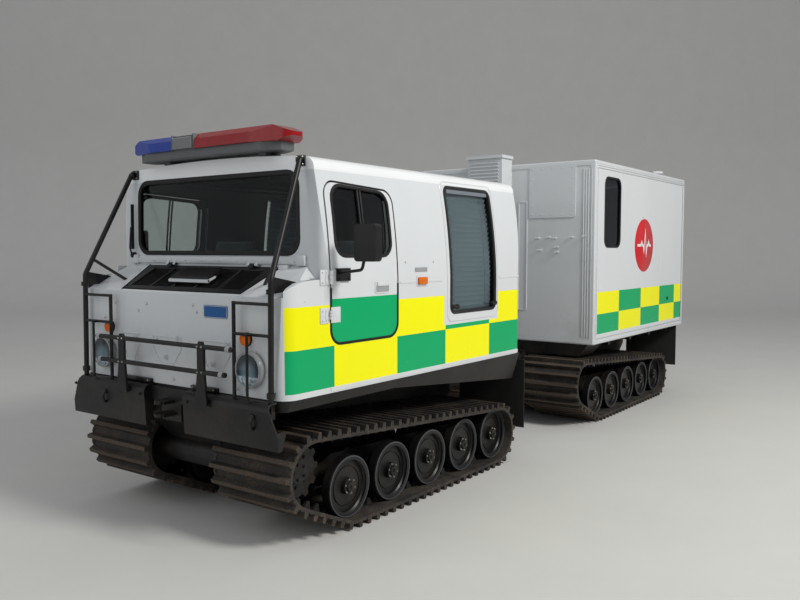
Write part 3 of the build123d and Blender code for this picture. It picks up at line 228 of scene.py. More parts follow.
def beltRubber(name, lastX, firstX, hubX, hubHigh):
    # black rubber, brown with dried mud between the bars and rubbed pale on their tips
    finish = Finish(name, IOR=1.5)
    x, y, z = finish.place.axes()
    wheelZ = gear["wheelZ"]

    def reach(cx, cz):
        return ((x - cx) ** 2 + (z - cz) ** 2) ** 0.5

    slope = Vector((hubX - firstX, hubHigh - wheelZ)).normalized()
    below = (x - firstX) * slope.y - (z - wheelZ) * slope.x
    tips = (z < 0.004).either((x < lastX) * (reach(lastX, wheelZ) > 0.2415))
    tips = tips.either((x > hubX - 0.08) * (reach(hubX, hubHigh) > 0.2365)).either((x > firstX) * (below > 0.2385))
    mud = finish.noise(7, 6).ramp(0.34, 0.62)
    crumbs = finish.noise(85, 4).ramp(0.40, 0.70)
    shade = finish.blend(mud * 0.30 + crumbs * 0.08, tones["rubber"], tones["grime"])
    shade = finish.blend(mud * crumbs * 0.14, shade, tones["dust"])
    shade = finish.blend(tips * (crumbs * 0.3 + 0.35), shade, tones["wornRubber"])
    return finish.done(shade, mud * 0.15 + 0.72, (finish.noise(60, 5) + crumbs * 0.6, 0.5, 0.004))


def clearGlass(name, colour, bend=1.22):
    finish = Finish(name, IOR=bend, Transmission_Weight=1.0)
    smear = finish.noise(5, 5).ramp(0.45, 0.8)
    return finish.done(finish.blend(smear * 0.06, colour, tones["dust"]), smear * 0.04 + 0.01)


def lampLens(name):
    # a ribbed lens over the silvered bowl; its colour is a painted reflection of the bowl, pale at the centre and dark
    # towards the edge, with painted highlights low on the lens
    finish = Finish(name, IOR=1.5, Coat_Weight=0.8, Coat_Roughness=0.03)
    x, y, z = finish.place.axes()
    rib = ((y * 110) % 1 - 0.5) ** 2
    across, upward = abs(abs(y) - lamps["lamp"][0]), z - lamps["lamp"][1]
    bowl = (across ** 2 + (upward + 0.02) ** 2) ** 0.5
    # painted reflection of the silvered bowl: pale blue-grey at the lens centre, dark near its edge
    shade = finish.blend(bowl.ramp(0.02, 0.085), tone(120, 146, 160), tone(30, 40, 48))
    # painted highlights: bright blotches on the lower part of the lens
    shade = finish.blend((upward < -0.035) * finish.noise(60, 2).ramp(0.3, 0.7), shade, tone(190, 205, 215))
    return finish.done(shade, finish.noise(40, 2) * 0.1 + 0.08, (rib, 0.6, 0.004), Metallic=bowl.ramp(0.09, 0.02) * 0.6)


def lensPlastic(name, colour):
    finish = Finish(name, IOR=1.3, Transmission_Weight=0.10, Coat_Weight=0.25, Coat_Roughness=0.05)
    rib = ((finish.place.axes()[1] * 95) % 1 - 0.5) ** 2
    shade = finish.blend(finish.noise(20, 3) * 0.35, colour, tones["black"])
    return finish.done(shade, finish.noise(40, 2) * 0.10 + 0.08, (rib, 0.5, 0.004))


def mouldedPlastic(name, colour, gloss=0.5):
    finish = Finish(name, IOR=1.36)
    fade = finish.noise(4, 4).ramp(0.35, 0.75)
    shade = finish.blend(fade * 0.10, colour, tones["iron"])
    return finish.done(shade, fade * 0.14 + gloss, (finish.noise(420, 3), 0.22, 0.0012))


def wovenCloth(name, colour, other):
    finish = Finish(name, Sheen_Weight=0.25, Sheen_Roughness=0.5)
    x, y, z = finish.place.axes()
    warp = ((x * 620 + z * 620) % 1 - 0.5) ** 2 * 4
    weft = ((y * 620) % 1 - 0.5) ** 2 * 4
    shade = finish.blend(finish.noise(6, 5).ramp(0.3, 0.8) * 0.5, colour, other)
    return finish.done(finish.blend(warp * weft * 0.3, shade, tones["black"]), warp * 0.1 + 0.82,
                       (warp + weft, 0.35, 0.0008))


def bareMetal(name, colour, gloss, dust=0.0):
    finish = Finish(name)
    rub = finish.noise(14, 5, (1, 6, 1)).ramp(0.35, 0.75)
    shade, film = dusted(finish, finish.blend(rub * 0.3, colour, tones["iron"]), dust, 1.4)
    return finish.done(shade, rub * 0.12 + gloss + film * 0.3, (finish.noise(160, 3), 0.08, 0.001), Metallic=1 - film)


def floorBoard(name):
    finish = Finish(name, Coat_Weight=0.1)
    ring = finish.noise(7, 6, (0.25, 3, 1))
    shade = finish.blend(ring.ramp(0.3, 0.7), tone(122, 98, 68), tone(86, 68, 47))
    return finish.done(shade, ring * 0.2 + 0.5, (ring, 0.2, 0.001))


looks, slotOfLook = {}, {}


def addLooks(maker, rows):
    # rows of look, slot, material name and the maker's values, in which a triple is a colour
    for look, slot, name, *values in rows:
        values = [tone(*value) if isinstance(value, tuple) and len(value) == 3 else value for value in values]
        looks[look], slotOfLook[look] = maker(name, *values), slot


addLooks(sidePaint, (
    ("front", "white_paint", "sidePaintFront", "front"), ("rear", "white_paint", "sidePaintRear", "rear"),
    ("door", "white_paint", "doorPaint", "door")))
addLooks(plainPaint, (
    ("white", "white_paint", "whiteEnamel", tones["white"]),
    ("shell", "white_paint", "shellEnamel", tones["white"], 0.10, 0.3, 1.6, 0.0, True),
    ("roof", "white_paint", "roofEnamel", (230, 232, 233), 0.07, 0.05, 1.6, 0.0, True),
    ("blackTrim", "black_paint", "blackTrim", tones["black"], 0.42, 0.25, 1.3, 0.4),
    ("blind", "grey_plastic", "blindSlats", (138, 152, 164), 0.4, 0.05),
    ("greyPaint", "white_paint", "greyPaint", (150, 152, 154)),
    # blue-grey strips painted as the shade of the side window's recess, along its top and bottom
    ("lintel", "grey_plastic", "lintelPaint", (112, 117, 126), 0.4, 0.05),
    ("bluePlate", "blue_lens", "bluePlate", (16, 84, 146)),
    ("plateEdge", "white_paint", "plateEdge", (206, 208, 210)),
    ("signRed", "red_lens", "signRed", (200, 8, 26), 0.32, 0.02, 2.2),
    ("signWhite", "white_paint", "signWhite", (232, 232, 230), 0.32, 0.12, 2.2)))
addLooks(chippedMetal, (
    ("black", "black_paint", "blackEnamel", tones["black"]),
    ("wheel", "black_paint", "wheelPaint", (11, 11, 12), 0.40, 0.05, 0.9),
    ("wornIron", "black_paint", "wornIron", (46, 43, 41), 0.5, 0.25, 0.9, 0.3),
    ("iron", "engine_iron", "engineIron", (88, 88, 84), 0.5, 0.5, 1.4, 0.5)))
addLooks(mouldedPlastic, (
    ("tyre", "track_rubber", "tyreRubber", (27, 27, 28)), ("belt", "track_rubber", "hornRubber", (26, 24, 23), 0.6),
    # a lighter grey ring painted as the highlight on each road wheel's outer edge
    ("rimEdge", "track_rubber", "rimEdge", (80, 82, 86), 0.4),
    ("flap", "flap_rubber", "flapRubber", (34, 33, 32), 0.62),
    ("seal", "flap_rubber", "sealRubber", (18, 18, 18)), ("grey", "grey_plastic", "greyPlastic", (92, 94, 96)),
    ("dark", "dark_plastic", "darkPlastic", (40, 41, 43)),
    ("darkFrame", "grey_plastic", "frameRubber", (30, 30, 31), 0.45),
    ("blackPlastic", "dark_plastic", "blackPlastic", (24, 24, 25), 0.4)))
addLooks(clearGlass, (("glass", "window_glass", "windowGlass", (222, 230, 228)),
                      ("tinted", "window_glass", "tintedGlass", (84, 98, 124), 1.3)))
addLooks(lampLens, (("lamp", "lamp_glass", "lampGlass"),))
addLooks(lensPlastic, (("amber", "amber_lens", "amberLens", tones["amber"]),
                       ("redLens", "red_lens", "redLens", tones["red"]),
                       ("blueLens", "blue_lens", "blueLens", tones["blue"])))
addLooks(wovenCloth, (("cloth", "seat_cloth", "seatCloth", (58, 62, 66), (44, 47, 52)),
                      ("mattress", "seat_cloth", "mattressCloth", (62, 78, 92), (48, 60, 74)),
                      ("pillow", "seat_cloth", "pillowCloth", (196, 198, 200), (172, 176, 180))))
addLooks(bareMetal, (("chrome", "rod_chrome", "rodChrome", (205, 206, 208), 0.10),
                     ("steel", "black_paint", "bareSteel", (165, 163, 158), 0.3, 0.4),
                     ("silver", "rod_chrome", "silveredGlass", (222, 226, 228), 0.03)))
addLooks(floorBoard, (("board", "floor_ply", "floorBoard"),))
addLooks(beltRubber, [(car + "Belt", "track_rubber", car + "BeltRubber", *places) for car, places in wheels.items()])

nodeLooks = {}
for look, nodes in {
        "front": "cab_sides wing_panels", "door": "cab_door_left cab_door_right", "rear": "box_sides",
        "frontBelt": "track_front_left track_front_right", "rearBelt": "track_rear_left track_rear_right",
        "wheel": "road_wheels_front road_wheels_rear", "tinted": "box_windows rear_glass_left rear_glass_right",
        "roof": "cab_roof"}.items():
    nodeLooks.update(dict.fromkeys(nodes.split(), look))
slotLooks = {
    "white_paint": "shell", "black_paint": "black", "track_rubber": "frontBelt", "flap_rubber": "flap",
    "window_glass": "glass", "lamp_glass": "lamp", "amber_lens": "amber", "red_lens": "redLens",
    "blue_lens": "blueLens", "grey_plastic": "grey", "dark_plastic": "dark", "seat_cloth": "cloth",
    "engine_iron": "iron", "rod_chrome": "chrome", "floor_ply": "board",
}
for part in frame["record"]["subparts"]:
    materials = cadNodes[part["node"]].data.materials
    materials.clear()
    materials.append(looks[nodeLooks.get(part["node"], slotLooks[part["material_slot"]])])
print("finishes made and given to", len(cadNodes), "CAD nodes")


# Pieces: a mesh from a list of steps, each an adding function and what it is given, in metres at its real place

def meshOf(name, steps, merge=0.0):
    bm = bmesh.new()
    for add, *given in steps:
        add(bm, *given)
    if merge:
        bmesh.ops.remove_doubles(bm, verts=bm.verts, dist=merge)
    bmesh.ops.recalc_face_normals(bm, faces=bm.faces)
    return emptied(bm, name)


def emptied(bm, name):
    data = bpy.data.meshes.new(name)
    bm.to_mesh(data)
    bm.free()
    return data


def addObject(name, data):
    made = bpy.data.objects.new(name, data)
    bpy.context.scene.collection.objects.link(made)
    return made


def evaluated(made):
    bpy.context.view_layer.update()
    return bpy.data.meshes.new_from_object(made.evaluated_get(bpy.context.evaluated_depsgraph_get()))


def placePiece(name, body, look, data, smooth=35):
    data.name = name
    data.shade_smooth()
    data.set_sharp_from_angle(angle=radians(smooth))
    data.materials.clear()
    data.materials.append(looks[look])
    piece = addObject(name, data)
    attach(piece, body)
    return piece


def makePiece(name, body, look, steps, smooth=35):
    return placePiece(name, body, look, meshOf(name, steps, 0.00004), smooth)


def makeTrim(name, body, look, path, outward, section):
    return makePiece(name, body, look, [(addTrim, path, outward, section)])


def doorBody(kind, side):
    return kind + "_door_" + side.lower() + "_body"


# Adding functions: each adds one closed shape to a bmesh

def addBox(bm, corner, opposite, bevel):
    # a block with softened edges between two opposite corners
    corner, opposite = Vector(corner), Vector(opposite)
    size = [abs(a - b) for a, b in zip(corner, opposite)]
    turn = Matrix.Translation((corner + opposite) / 2) @ Matrix.Diagonal(size).to_4x4()
    vertices = bmesh.ops.create_cube(bm, size=1, matrix=turn)["verts"]
    edges = list({edge for vertex in vertices for edge in vertex.link_edges})
    bmesh.ops.bevel(bm, geom=edges, offset=min(bevel, min(size) * 0.45), segments=2, affect="EDGES", profile=0.5)


def joinRings(bm, rings, closed=False):
    # walls between rings of vertices, where a ring of one is a point, and a cap on each open end
    sides = max(len(ring) for ring in rings)
    for low, high in zip(rings, rings[1:] + rings[:closed]):
        for k in range(sides):
            near, far = k, (k + 1) % sides
            corners = [low[near % len(low)], low[far % len(low)], high[far % len(high)], high[near % len(high)]]
            corners = list(dict.fromkeys(corners))
            if len(corners) > 2:
                bm.faces.new(corners)
    for ring in () if closed else (rings[0], rings[-1]):
        if len(ring) > 2:
            bm.faces.new(ring)


def addTurned(bm, centre, axis, profile, sides, closed=False):
    # a turned shape from pairs of radius and distance along the axis
    axis = Vector(axis).normalized()
    first = axis.orthogonal().normalized()
    second = axis.cross(first)
    rings = []
    for radius, along in profile:
        base = Vector(centre) + axis * along
        angles = [2 * pi * k / sides for k in range(1 if radius < 1e-6 else sides)]
        rings.append([bm.verts.new(base + (first * cos(a) + second * sin(a)) * radius) for a in angles])
    joinRings(bm, rings, closed)


def addRing(bm, centre, axis, profile, sides):
    addTurned(bm, centre, axis, profile, sides, True)


def addPrism(bm, outline, axis, low, high):
    # a flat outline carried along X (0), Y (1) or Z (2); the outline names the other two axes in order
    ends = []
    for along in (low, high):
        ends.append([bm.verts.new([(along, a, b), (a, along, b), (a, b, along)][axis]) for a, b in outline])
    joinRings(bm, ends)


def runAt(path, k, closed):
    before = path[k - 1] if closed or k > 0 else path[k]
    after = path[(k + 1) % len(path)] if closed or k < len(path) - 1 else path[k]
    return (after - before).normalized()


def addTrim(bm, path, outward, section, closed=True):
    # a strip whose section, as (sideways, outwards) pairs, follows a path over a surface
    path = [Vector(spot) for spot in path]
    rings = []
    for k, spot in enumerate(path):
        up = outward(spot) if callable(outward) else Vector(outward)
        side = runAt(path, k, closed).cross(up).normalized()
        rings.append([bm.verts.new(spot + side * across + up * out) for across, out in section])
    joinRings(bm, rings, closed)


def addStrip(bm, path, outward, section):
    addTrim(bm, path, outward, section, False)


def addBar(bm, path, radius, sides, closed=False):
    # a round bar along a path, its frame carried on from point to point
    path = [Vector(spot) for spot in path]
    aside = (path[1] - path[0]).orthogonal().normalized()
    rings = []
    for k, spot in enumerate(path):
        run = runAt(path, k, closed)
        aside = (aside - run * aside.dot(run)).normalized()
        other = run.cross(aside)
        angles = [2 * pi * j / sides for j in range(sides)]
        rings.append([bm.verts.new(spot + (aside * cos(a) + other * sin(a)) * radius) for a in angles])
    joinRings(bm, rings, closed)


def addHoop(bm, path, radius, sides):
    addBar(bm, path, radius, sides, True)


def addMesh(bm, data):
    bm.from_mesh(data)


# Outlines, sections and runs that the adding functions are given

def boxCorners(a, b):
    return [(a[0], b[0]), (a[1], b[0]), (a[1], b[1]), (a[0], b[1])]


def bead(foot, top, high):
    # the section of a raised bead: half widths of its foot and top, and its height
    return [(-foot, -0.001), (foot, -0.001), (top, high), (-top, high)]


def roundedOutline(corners, radius, steps=5, longest=0.09):
    # flat corner points (a, b) turned into a rounded outline with no long gap between points
    spots = [Vector((a, b, 0)) for a, b in corners]
    arcs = []
    for k, corner in enumerate(spots):
        back = (spots[k - 1] - corner).normalized()
        ahead = (spots[(k + 1) % len(spots)] - corner).normalized()
        half = back.angle(ahead) / 2
        centre = corner + (back + ahead).normalized() * radius / sin(half)
        first, last = [(corner + way * radius / tan(half) - centre).normalized() for way in (back, ahead)]
        arcs.append([centre + first.slerp(last, j / steps).normalized() * radius for j in range(steps + 1)])
    outline = []
    for arc, after in zip(arcs, arcs[1:] + arcs[:1]):
        gap = after[0] - arc[-1]
        cuts = max(1, ceil(gap.length / longest))
        outline += arc + [arc[-1] + gap * j / cuts for j in range(1, cuts)]
    return [(spot.x, spot.y) for spot in outline]


cabSide = {"z": (1.5, 1.8, 2.13), "y": (0.935, 0.912, 0.860)}
flatSide = cabSide["y"][0]


def cabSideY(z):
    # the outer face of the cab's side: upright, then leaning in above the shoulder in a curve through three points
    (low, middle, high), (first, second, third) = cabSide["z"], cabSide["y"]
    if z <= low:
        return first
    return (first * (z - middle) * (z - high) / ((low - middle) * (low - high))
            + second * (z - low) * (z - high) / ((middle - low) * (middle - high))
            + third * (z - low) * (z - middle) / ((high - low) * (high - middle)))


def cabSideFacing(spot):
    lean = (cabSideY(spot.z + 0.004) - cabSideY(spot.z - 0.004)) / 0.008
    return Vector((0, 1 if spot.y > 0 else -1, -lean)).normalized()


def faced(path, sign):
    # a path run so that the section's edges lie alike on both sides of the vehicle
    return path if sign < 0 else path[::-1]


def sideLoop(corners, radius, sign, steps=5, longest=0.09):
    # a rounded outline on the cab's side
    return faced([(x, sign * cabSideY(z), z) for x, z in roundedOutline(corners, radius, steps, longest)], sign)


def sideRun(start, end, y, z, sign, cuts):
    # a straight run along one side of the vehicle
    return faced([(start + (end - start) * k / cuts, sign * y, z) for k in range(cuts + 1)], sign)


# Geometry Nodes: one tree repeats a shape at marked points, one lays a row of slats or wires

def startTree(name, sockets):
    tree = bpy.data.node_groups.new(name, "GeometryNodeTree")
    for label, kind in (("Geometry", "Geometry"),) + sockets:
        tree.interface.new_socket(label, in_out="INPUT", socket_type="NodeSocket" + kind)
    tree.interface.new_socket("Geometry", in_out="OUTPUT", socket_type="NodeSocketGeometry")
    return tree, tree.nodes.new("NodeGroupInput").outputs


def endTree(tree, points, instance, turn, given, others):
    inputs = {"Points": points, "Instance": instance, "Rotation": turn, **others}
    copies = addNode(tree, "GeometryNodeInstanceOnPoints", {}, inputs)
    real = addNode(tree, "GeometryNodeRealizeInstances", {}, {"Geometry": copies["Instances"]})
    inputs = {"Geometry": real["Geometry"], "Material": given["Finish"]}
    coated = addNode(tree, "GeometryNodeSetMaterial", {}, inputs)
    tree.links.new(coated["Geometry"], tree.nodes.new("NodeGroupOutput").inputs["Geometry"])
    return tree


def makeRepeatTree():
    tree, given = startTree("repeatAtPoints", (("Shape", "Object"), ("Scale", "Float"), ("Finish", "Material")))
    facing, along = (addNode(tree, "GeometryNodeInputNamedAttribute", {"data_type": "FLOAT_VECTOR"}, {"Name": name})
                     for name in ("facing", "along"))
    turn = addNode(tree, "FunctionNodeAxesToRotation", {"primary_axis": "Z", "secondary_axis": "X"},
                   {"Primary Axis": facing["Attribute"], "Secondary Axis": along["Attribute"]})
    shape = addNode(tree, "GeometryNodeObjectInfo", {}, {"Object": given["Shape"]})
    return endTree(tree, given["Geometry"], shape["Geometry"], turn["Rotation"], given, {"Scale": given["Scale"]})


def makeRowTree():
    tree, given = startTree("rowOfSlats", (("Count", "Int"), ("Start", "Vector"), ("Step", "Vector"),
                                           ("Size", "Vector"), ("Tilt", "Vector"), ("Finish", "Material")))
    line = addNode(tree, "GeometryNodeMeshLine", {"mode": "OFFSET"}, {
        "Count": given["Count"], "Start Location": given["Start"], "Offset": given["Step"]})
    slat = addNode(tree, "GeometryNodeMeshCube", {}, {"Size": given["Size"]})
    return endTree(tree, line["Mesh"], slat["Mesh"], given["Tilt"], given, {})


repeatTree, rowTree = makeRepeatTree(), makeRowTree()


def grow(tree, settings, points=None):
    # runs a tree once on a hidden host and gives back a plain mesh
    host = addObject("host", points or bpy.data.meshes.new("host"))
    modifier = host.modifiers.new("grow", "NODES")
    modifier.node_group = tree
    for item in tree.interface.items_tree:
        if item.in_out == "INPUT" and item.name in settings:
            modifier[item.identifier] = settings[item.name]
    data = evaluated(host)
    bpy.data.objects.remove(host)
    return data


def rowMesh(look, count, start, step, size, tilt):
    return grow(rowTree, {"Count": count, "Start": tuple(start), "Step": tuple(step), "Size": size, "Tilt": tilt,
                          "Finish": looks[look]})


def repeatShape(name, body, look, shape, scale, marks, smooth=35):
    # marks are (place, facing, along); the shape points up its own Z
    points = bpy.data.meshes.new("marks")
    points.from_pydata([mark[0] for mark in marks], [], [])
    for key, column in (("facing", 1), ("along", 2)):
        layer = points.attributes.new(key, "FLOAT_VECTOR", "POINT")
        layer.data.foreach_set("vector", [value for mark in marks for value in mark[column]])
    sample = addObject("sample", shape)
    data = grow(repeatTree, {"Shape": sample, "Scale": scale, "Finish": looks[look]}, points)
    bpy.data.objects.remove(sample)
    return placePiece(name, body, look, data, smooth)


def fasten(name, body, look, shape, scale, facing, spots):
    # one shape at each spot of a flat face
    along = (0, 1, 0) if facing[0] else (1, 0, 0)
    return repeatShape(name, body, look, shape, scale, [(spot, facing, along) for spot in spots])


# a washer under a six-sided head, 10 mm across, and a domed rivet
boltShape = meshOf("sample", [
    (addTurned, (0, 0, 0), (0, 0, 1), [(0.0068, -0.001), (0.0068, 0.0012), (0.0062, 0.0018)], 12),
    (addTurned, (0, 0, 0.0015), (0, 0, 1), [(0.0050, 0), (0.0050, 0.0032), (0.0042, 0.0042)], 6)])
rivetShape = meshOf("sample", [
    (addTurned, (0, 0, 0), (0, 0, 1), [(0.006, -0.001), (0.006, 0.0006), (0.0045, 0.0022), (0, 0.003)], 10)])

# Windows: rubbers, seals, frames, blinds and latches of both cars

windows = {
    "rubber": [(-0.015, -0.012), (0.012, -0.012), (0.014, 0.001), (0.008, 0.006), (-0.011, 0.006), (-0.016, 0.002)],
    "slim": [(-0.010, -0.011), (0.008, -0.011), (0.010, 0.000), (0.006, 0.005), (-0.008, 0.005), (-0.011, 0.001)],
    "frame": [(-0.020, -0.012), (0.006, -0.012), (0.006, 0.000), (0.002, 0.006), (-0.017, 0.006), (-0.020, 0.002)],
    "edge": [(-0.010, -0.002), (0.000, -0.002), (0.000, 0.002), (-0.004, 0.004), (-0.010, 0.003)],
    "door": ([(2.36, 1.640), (2.89, 1.640), (2.89, 2.055), (2.36, 2.030)], 0.085),
    "side": (boxCorners((1.06, 1.69), (1.235, 2.12)), 0.055),
    "panel": (boxCorners((1.022, 1.735), (1.180, 2.155)), 0.06),
    "box": (boxCorners((-1.370, -0.968), (1.710, 2.375)), 0.075), "boxY": 0.975,
    "leaf": (boxCorners((0.200, 0.700), (1.600, 2.200)), 0.070), "leafX": -3.426,
    "screen": ([(-0.740, 1.655), (0.740, 1.655), (0.732, 2.125), (-0.732, 2.125)], 0.085), "screenX": 3.0,
    "rear": (boxCorners((-0.42, 0.42), (1.50, 2.00)), 0.085), "rearX": 0.655,
    "lintels": ((2.072, 2.116), (1.240, 1.252)), "lintelX": (1.100, 1.650), "lintelDepth": (-0.012, 0.003),
}
for side, sign in bothSides:
    makeTrim("doorGlassSeal" + side, doorBody("cab", side), "seal", sideLoop(*windows["door"], sign),
             cabSideFacing, windows["slim"])
    makeTrim("sideWindowFrame" + side, "front_car", "darkFrame", sideLoop(*windows["side"], sign),
             cabSideFacing, windows["frame"])
    # grey strips painted as shade along the top and bottom of the side window's recess
    steps = []
    for low, high in windows["lintels"]:
        middle, half = (low + high) / 2, (high - low) / 2
        path = sideRun(*windows["lintelX"], cabSideY(middle) - 0.003, middle, sign, 4)
        steps.append((addStrip, path, cabSideFacing, boxCorners((-half, half), windows["lintelDepth"])))
    makePiece("windowLintel" + side, "front_car", "lintel", steps)
    makeTrim("windowPanelEdge" + side, "front_car", "white", sideLoop(*windows["panel"], sign),
             cabSideFacing, windows["edge"])
    loop = [(x, sign * windows["boxY"], z) for x, z in roundedOutline(*windows["box"])]
    makeTrim("boxWindowSeal" + side, "rear_car", "seal", faced(loop, sign), (0, sign, 0), windows["slim"])
    loop = [(windows["leafX"], sign * y, z) for y, z in roundedOutline(*windows["leaf"])]
    makeTrim("rearDoorSeal" + side, doorBody("rear", side), "seal", faced(loop, sign), (-1, 0, 0), windows["slim"])
loop = [(windows["screenX"], y, z) for y, z in roundedOutline(*windows["screen"])]
makeTrim("windscreenRubber", "front_car", "seal", loop, (1, 0, 0), windows["rubber"])
loop = [(windows["rearX"], y, z) for y, z in roundedOutline(*windows["rear"])]
makeTrim("rearWindowSeal", "front_car", "seal", loop[::-1], (-1, 0, 0), windows["slim"])

blind = {"count": 24, "low": 1.262, "pitch": 0.0352, "length": 0.585, "half": 0.0195, "tilt": radians(76), "x": 1.375,
         "behind": 0.040, "ladders": (1.16, 1.59), "ladderHeights": (1.25, 1.5, 1.7, 1.9, 2.11),
         "rail": ((1.08, 1.67), 0.855, (2.085, 2.112))}


def blindSpot(x, z, sign):
    return (x, sign * (cabSideY(z) - blind["behind"]), z)


# one curved slat, its hollow side down
curve = [(blind["half"] * share, high) for share, high in
         ((-1, -0.002), (-0.5, 0.0008), (0, 0.0018), (0.5, 0.0008), (1, -0.002))]
curve += [(a, b - 0.0008) for a, b in curve[::-1]]
slatShape = meshOf("sample", [(addPrism, curve, 0, -blind["length"] / 2, blind["length"] / 2)])
for side, sign in bothSides:
    facing = (0, -sign * sin(blind["tilt"]), cos(blind["tilt"]))
    heights = [blind["low"] + k * blind["pitch"] for k in range(blind["count"])]
    marks = [(blindSpot(blind["x"], z, sign), facing, (1, 0, 0)) for z in heights]
    repeatShape("windowBlind" + side, "front_car", "blind", slatShape, 1.0, marks, 50)
    steps = [(addBar, [blindSpot(x, z, sign) for z in blind["ladderHeights"]], 0.0012, 5) for x in blind["ladders"]]
    (x0, x1), y, (z0, z1) = blind["rail"]
    steps.append((addBox, (x0, sign * y - 0.018, z0), (x1, sign * y + 0.010, z1), 0.004))
    makePiece("blindLadders" + side, "front_car", "grey", steps)

latch = {"spots": ((1.108, 1.283), (1.640, 1.283)), "knob": [(0.017, 0), (0.017, 0.020), (0.013, 0.026), (0, 0.027)]}
for side, sign in bothSides:
    y, steps = flatSide * sign, []
    for x, z in latch["spots"]:
        steps += [(addBox, (x - 0.040, y, z - 0.013), (x + 0.040, y + 0.016 * sign, z + 0.013), 0.004),
                  (addTurned, (x - 0.018, y, z), (0, sign, 0), latch["knob"], 14),
                  (addBox, (x - 0.006, y, z - 0.007), (x + 0.052, y + 0.034 * sign, z + 0.007), 0.004)]
    makePiece("windowLatches" + side, "front_car", "blackPlastic", steps)
print("window rubbers, frames and blinds made")

# Cab outside: door seals, handles, markers, strips, cowl and wiper

cab = {
    "door": ([(2.300, 1.130), (2.955, 1.130), (2.955, 2.080), (2.300, 2.050)], 0.095),
    "frameSeal": [(-0.0045, -0.020), (0.0005, -0.020), (0.0005, -0.001), (-0.0045, -0.003)],
    "edgeRubber": [(-0.017, -0.001), (-0.002, -0.001), (-0.002, 0.004), (-0.015, 0.004)], "rubberTop": 1.482,
    "handle": (2.400, 2.540, 1.415, 1.486),
    "handleRim": [(-0.006, -0.001), (0.004, -0.001), (0.003, 0.004), (-0.005, 0.004)],
    "lock": [(0.006, 0), (0.006, 0.004), (0.004, 0.0055), (0, 0.0055)],
    "paneBars": (2.615, 2.640), "paneHeights": (1.645, 1.75, 1.85, 1.95, 2.035),
    "marker": (1.985, 2.100, 1.440, 1.512), "hinges": ((1.262, 1.352), (1.478, 1.566)), "hingeY": (0.933, 0.9405),
    "hingeX": ((2.968, 3.040), (2.868, 2.950)),
    "waist": 1.472, "waistRuns": ((1.80, 1.985), (2.105, 2.285), (0.70, 1.005)), "sill": 0.880,
}
for side, sign in bothSides:
    door, face, out = doorBody("cab", side), flatSide * sign, (0, sign, 0)
    loop = sideLoop(*cab["door"], sign, 7, 0.05)
    makeTrim("doorFrameSeal" + side, "front_car", "seal", loop, cabSideFacing, cab["frameSeal"])
    start = min(range(len(loop)), key=lambda k: abs(loop[k][2] - 1.48) + (loop[k][0] < 2.6) * 9)
    low = [spot for spot in loop[start:] + loop[:start] if spot[2] < cab["rubberTop"]]
    makePiece("doorEdgeRubber" + side, "front_car", "seal", [(addStrip, low, cabSideFacing, cab["edgeRubber"])])

    x0, x1, z0, z1 = cab["handle"]
    ring = faced([(x, face, z) for x, z in roundedOutline(boxCorners((x0, x1), (z0, z1)), 0.012, 3)], sign)
    makePiece("doorHandle" + side, door, "white", [
        (addTrim, ring, cabSideFacing, cab["handleRim"]),
        (addBox, (x0 + 0.006, face, z1 - 0.030), (x1 - 0.020, face + 0.0075 * sign, z1 - 0.004), 0.003)])
    # a grey plate painted as the shade in the handle's recess, with the real round lock beside it
    makePiece("doorHandleSlot" + side, door, "greyPaint", [
        (addBox, (x0 + 0.004, face, z0 + 0.003), (x1 - 0.004, face + 0.0022 * sign, z1 - 0.024), 0.001),
        (addTurned, (x1 - 0.012, face, z0 + 0.012), out, cab["lock"], 12)])
    makePiece("slidingPaneBars" + side, door, "darkFrame", [
        (addBar, [(x, sign * (cabSideY(z) - 0.006), z) for z in cab["paneHeights"]], 0.0065, 8)
        for x in cab["paneBars"]])

    x0, x1, z0, z1 = cab["marker"]
    inner, outer = [sign * y for y in cab["hingeY"]]
    fixed, moving = [[(addBox, (back, inner, low), (front, outer, high), 0.0015) for low, high in cab["hinges"]]
                     for back, front in cab["hingeX"]]
    plate = (addBox, (x0, face, z0), (x1, face + 0.004 * sign, z1), 0.0015)
    makePiece("markerPlate" + side, "front_car", "white", [plate] + fixed)
    makePiece("hingePlates" + side, door, "white", moving)
    makePiece("markerStrip" + side, "front_car", "greyPaint", [
        (addBox, (x0 - 0.005, face, 1.536), (x1 + 0.015, face + 0.0022 * sign, 1.563), 0.001)])
    makePiece("sideMarker" + side, "front_car", "amber", [
        (addBox, (x0 + 0.008, face, z0 + 0.012), (x1 - 0.008, face + 0.018 * sign, z1 - 0.012), 0.006)])

    steps = [(addStrip, sideRun(low, high, flatSide, cab["waist"], sign, 3), cabSideFacing, bead(0.010, 0.007, 0.0035))
             for low, high in cab["waistRuns"]]
    path = sideRun(0.70, 2.95, flatSide, cab["sill"], sign, 12)
    steps.append((addStrip, path, cabSideFacing, bead(0.012, 0.010, 0.003)))
    makePiece("waistStrips" + side, "front_car", "white", steps)
    spots = [(0.74 + 0.30 * k, face, cab["sill"]) for k in range(8)]
    spots += [(3.16, face, 1.395), (2.22, face, 1.60), (1.90, face, 1.60)]
    fasten("sideRivets" + side, "front_car", "white", rivetShape, 1.1, out, spots)

cowl = {"section": [(2.998, 1.592), (3.014, 1.592), (3.018, 1.600), (3.018, 1.616), (3.010, 1.624), (3.010, 1.634),
                    (2.998, 1.640)], "half": 0.760, "ends": ((-0.80, -0.735), (0.735, 0.80))}
steps = [(addPrism, cowl["section"], 1, -cowl["half"], cowl["half"])]
steps += [(addBox, (2.998, low, 1.585), (3.022, high, 1.645), 0.006) for low, high in cowl["ends"]]
steps.append((addBox, (2.985, 0.612, 1.500), (3.040, 0.680, 1.588), 0.006))
makePiece("cowlStrip", "front_car", "white", steps)
spots = [(3.018, -0.72 + 0.16 * k, 1.608) for k in range(10)] + [(3.040, 0.646, 1.52), (3.040, 0.646, 1.565)]
fasten("cowlBolts", "front_car", "white", boltShape, 0.9, (1, 0, 0), spots)

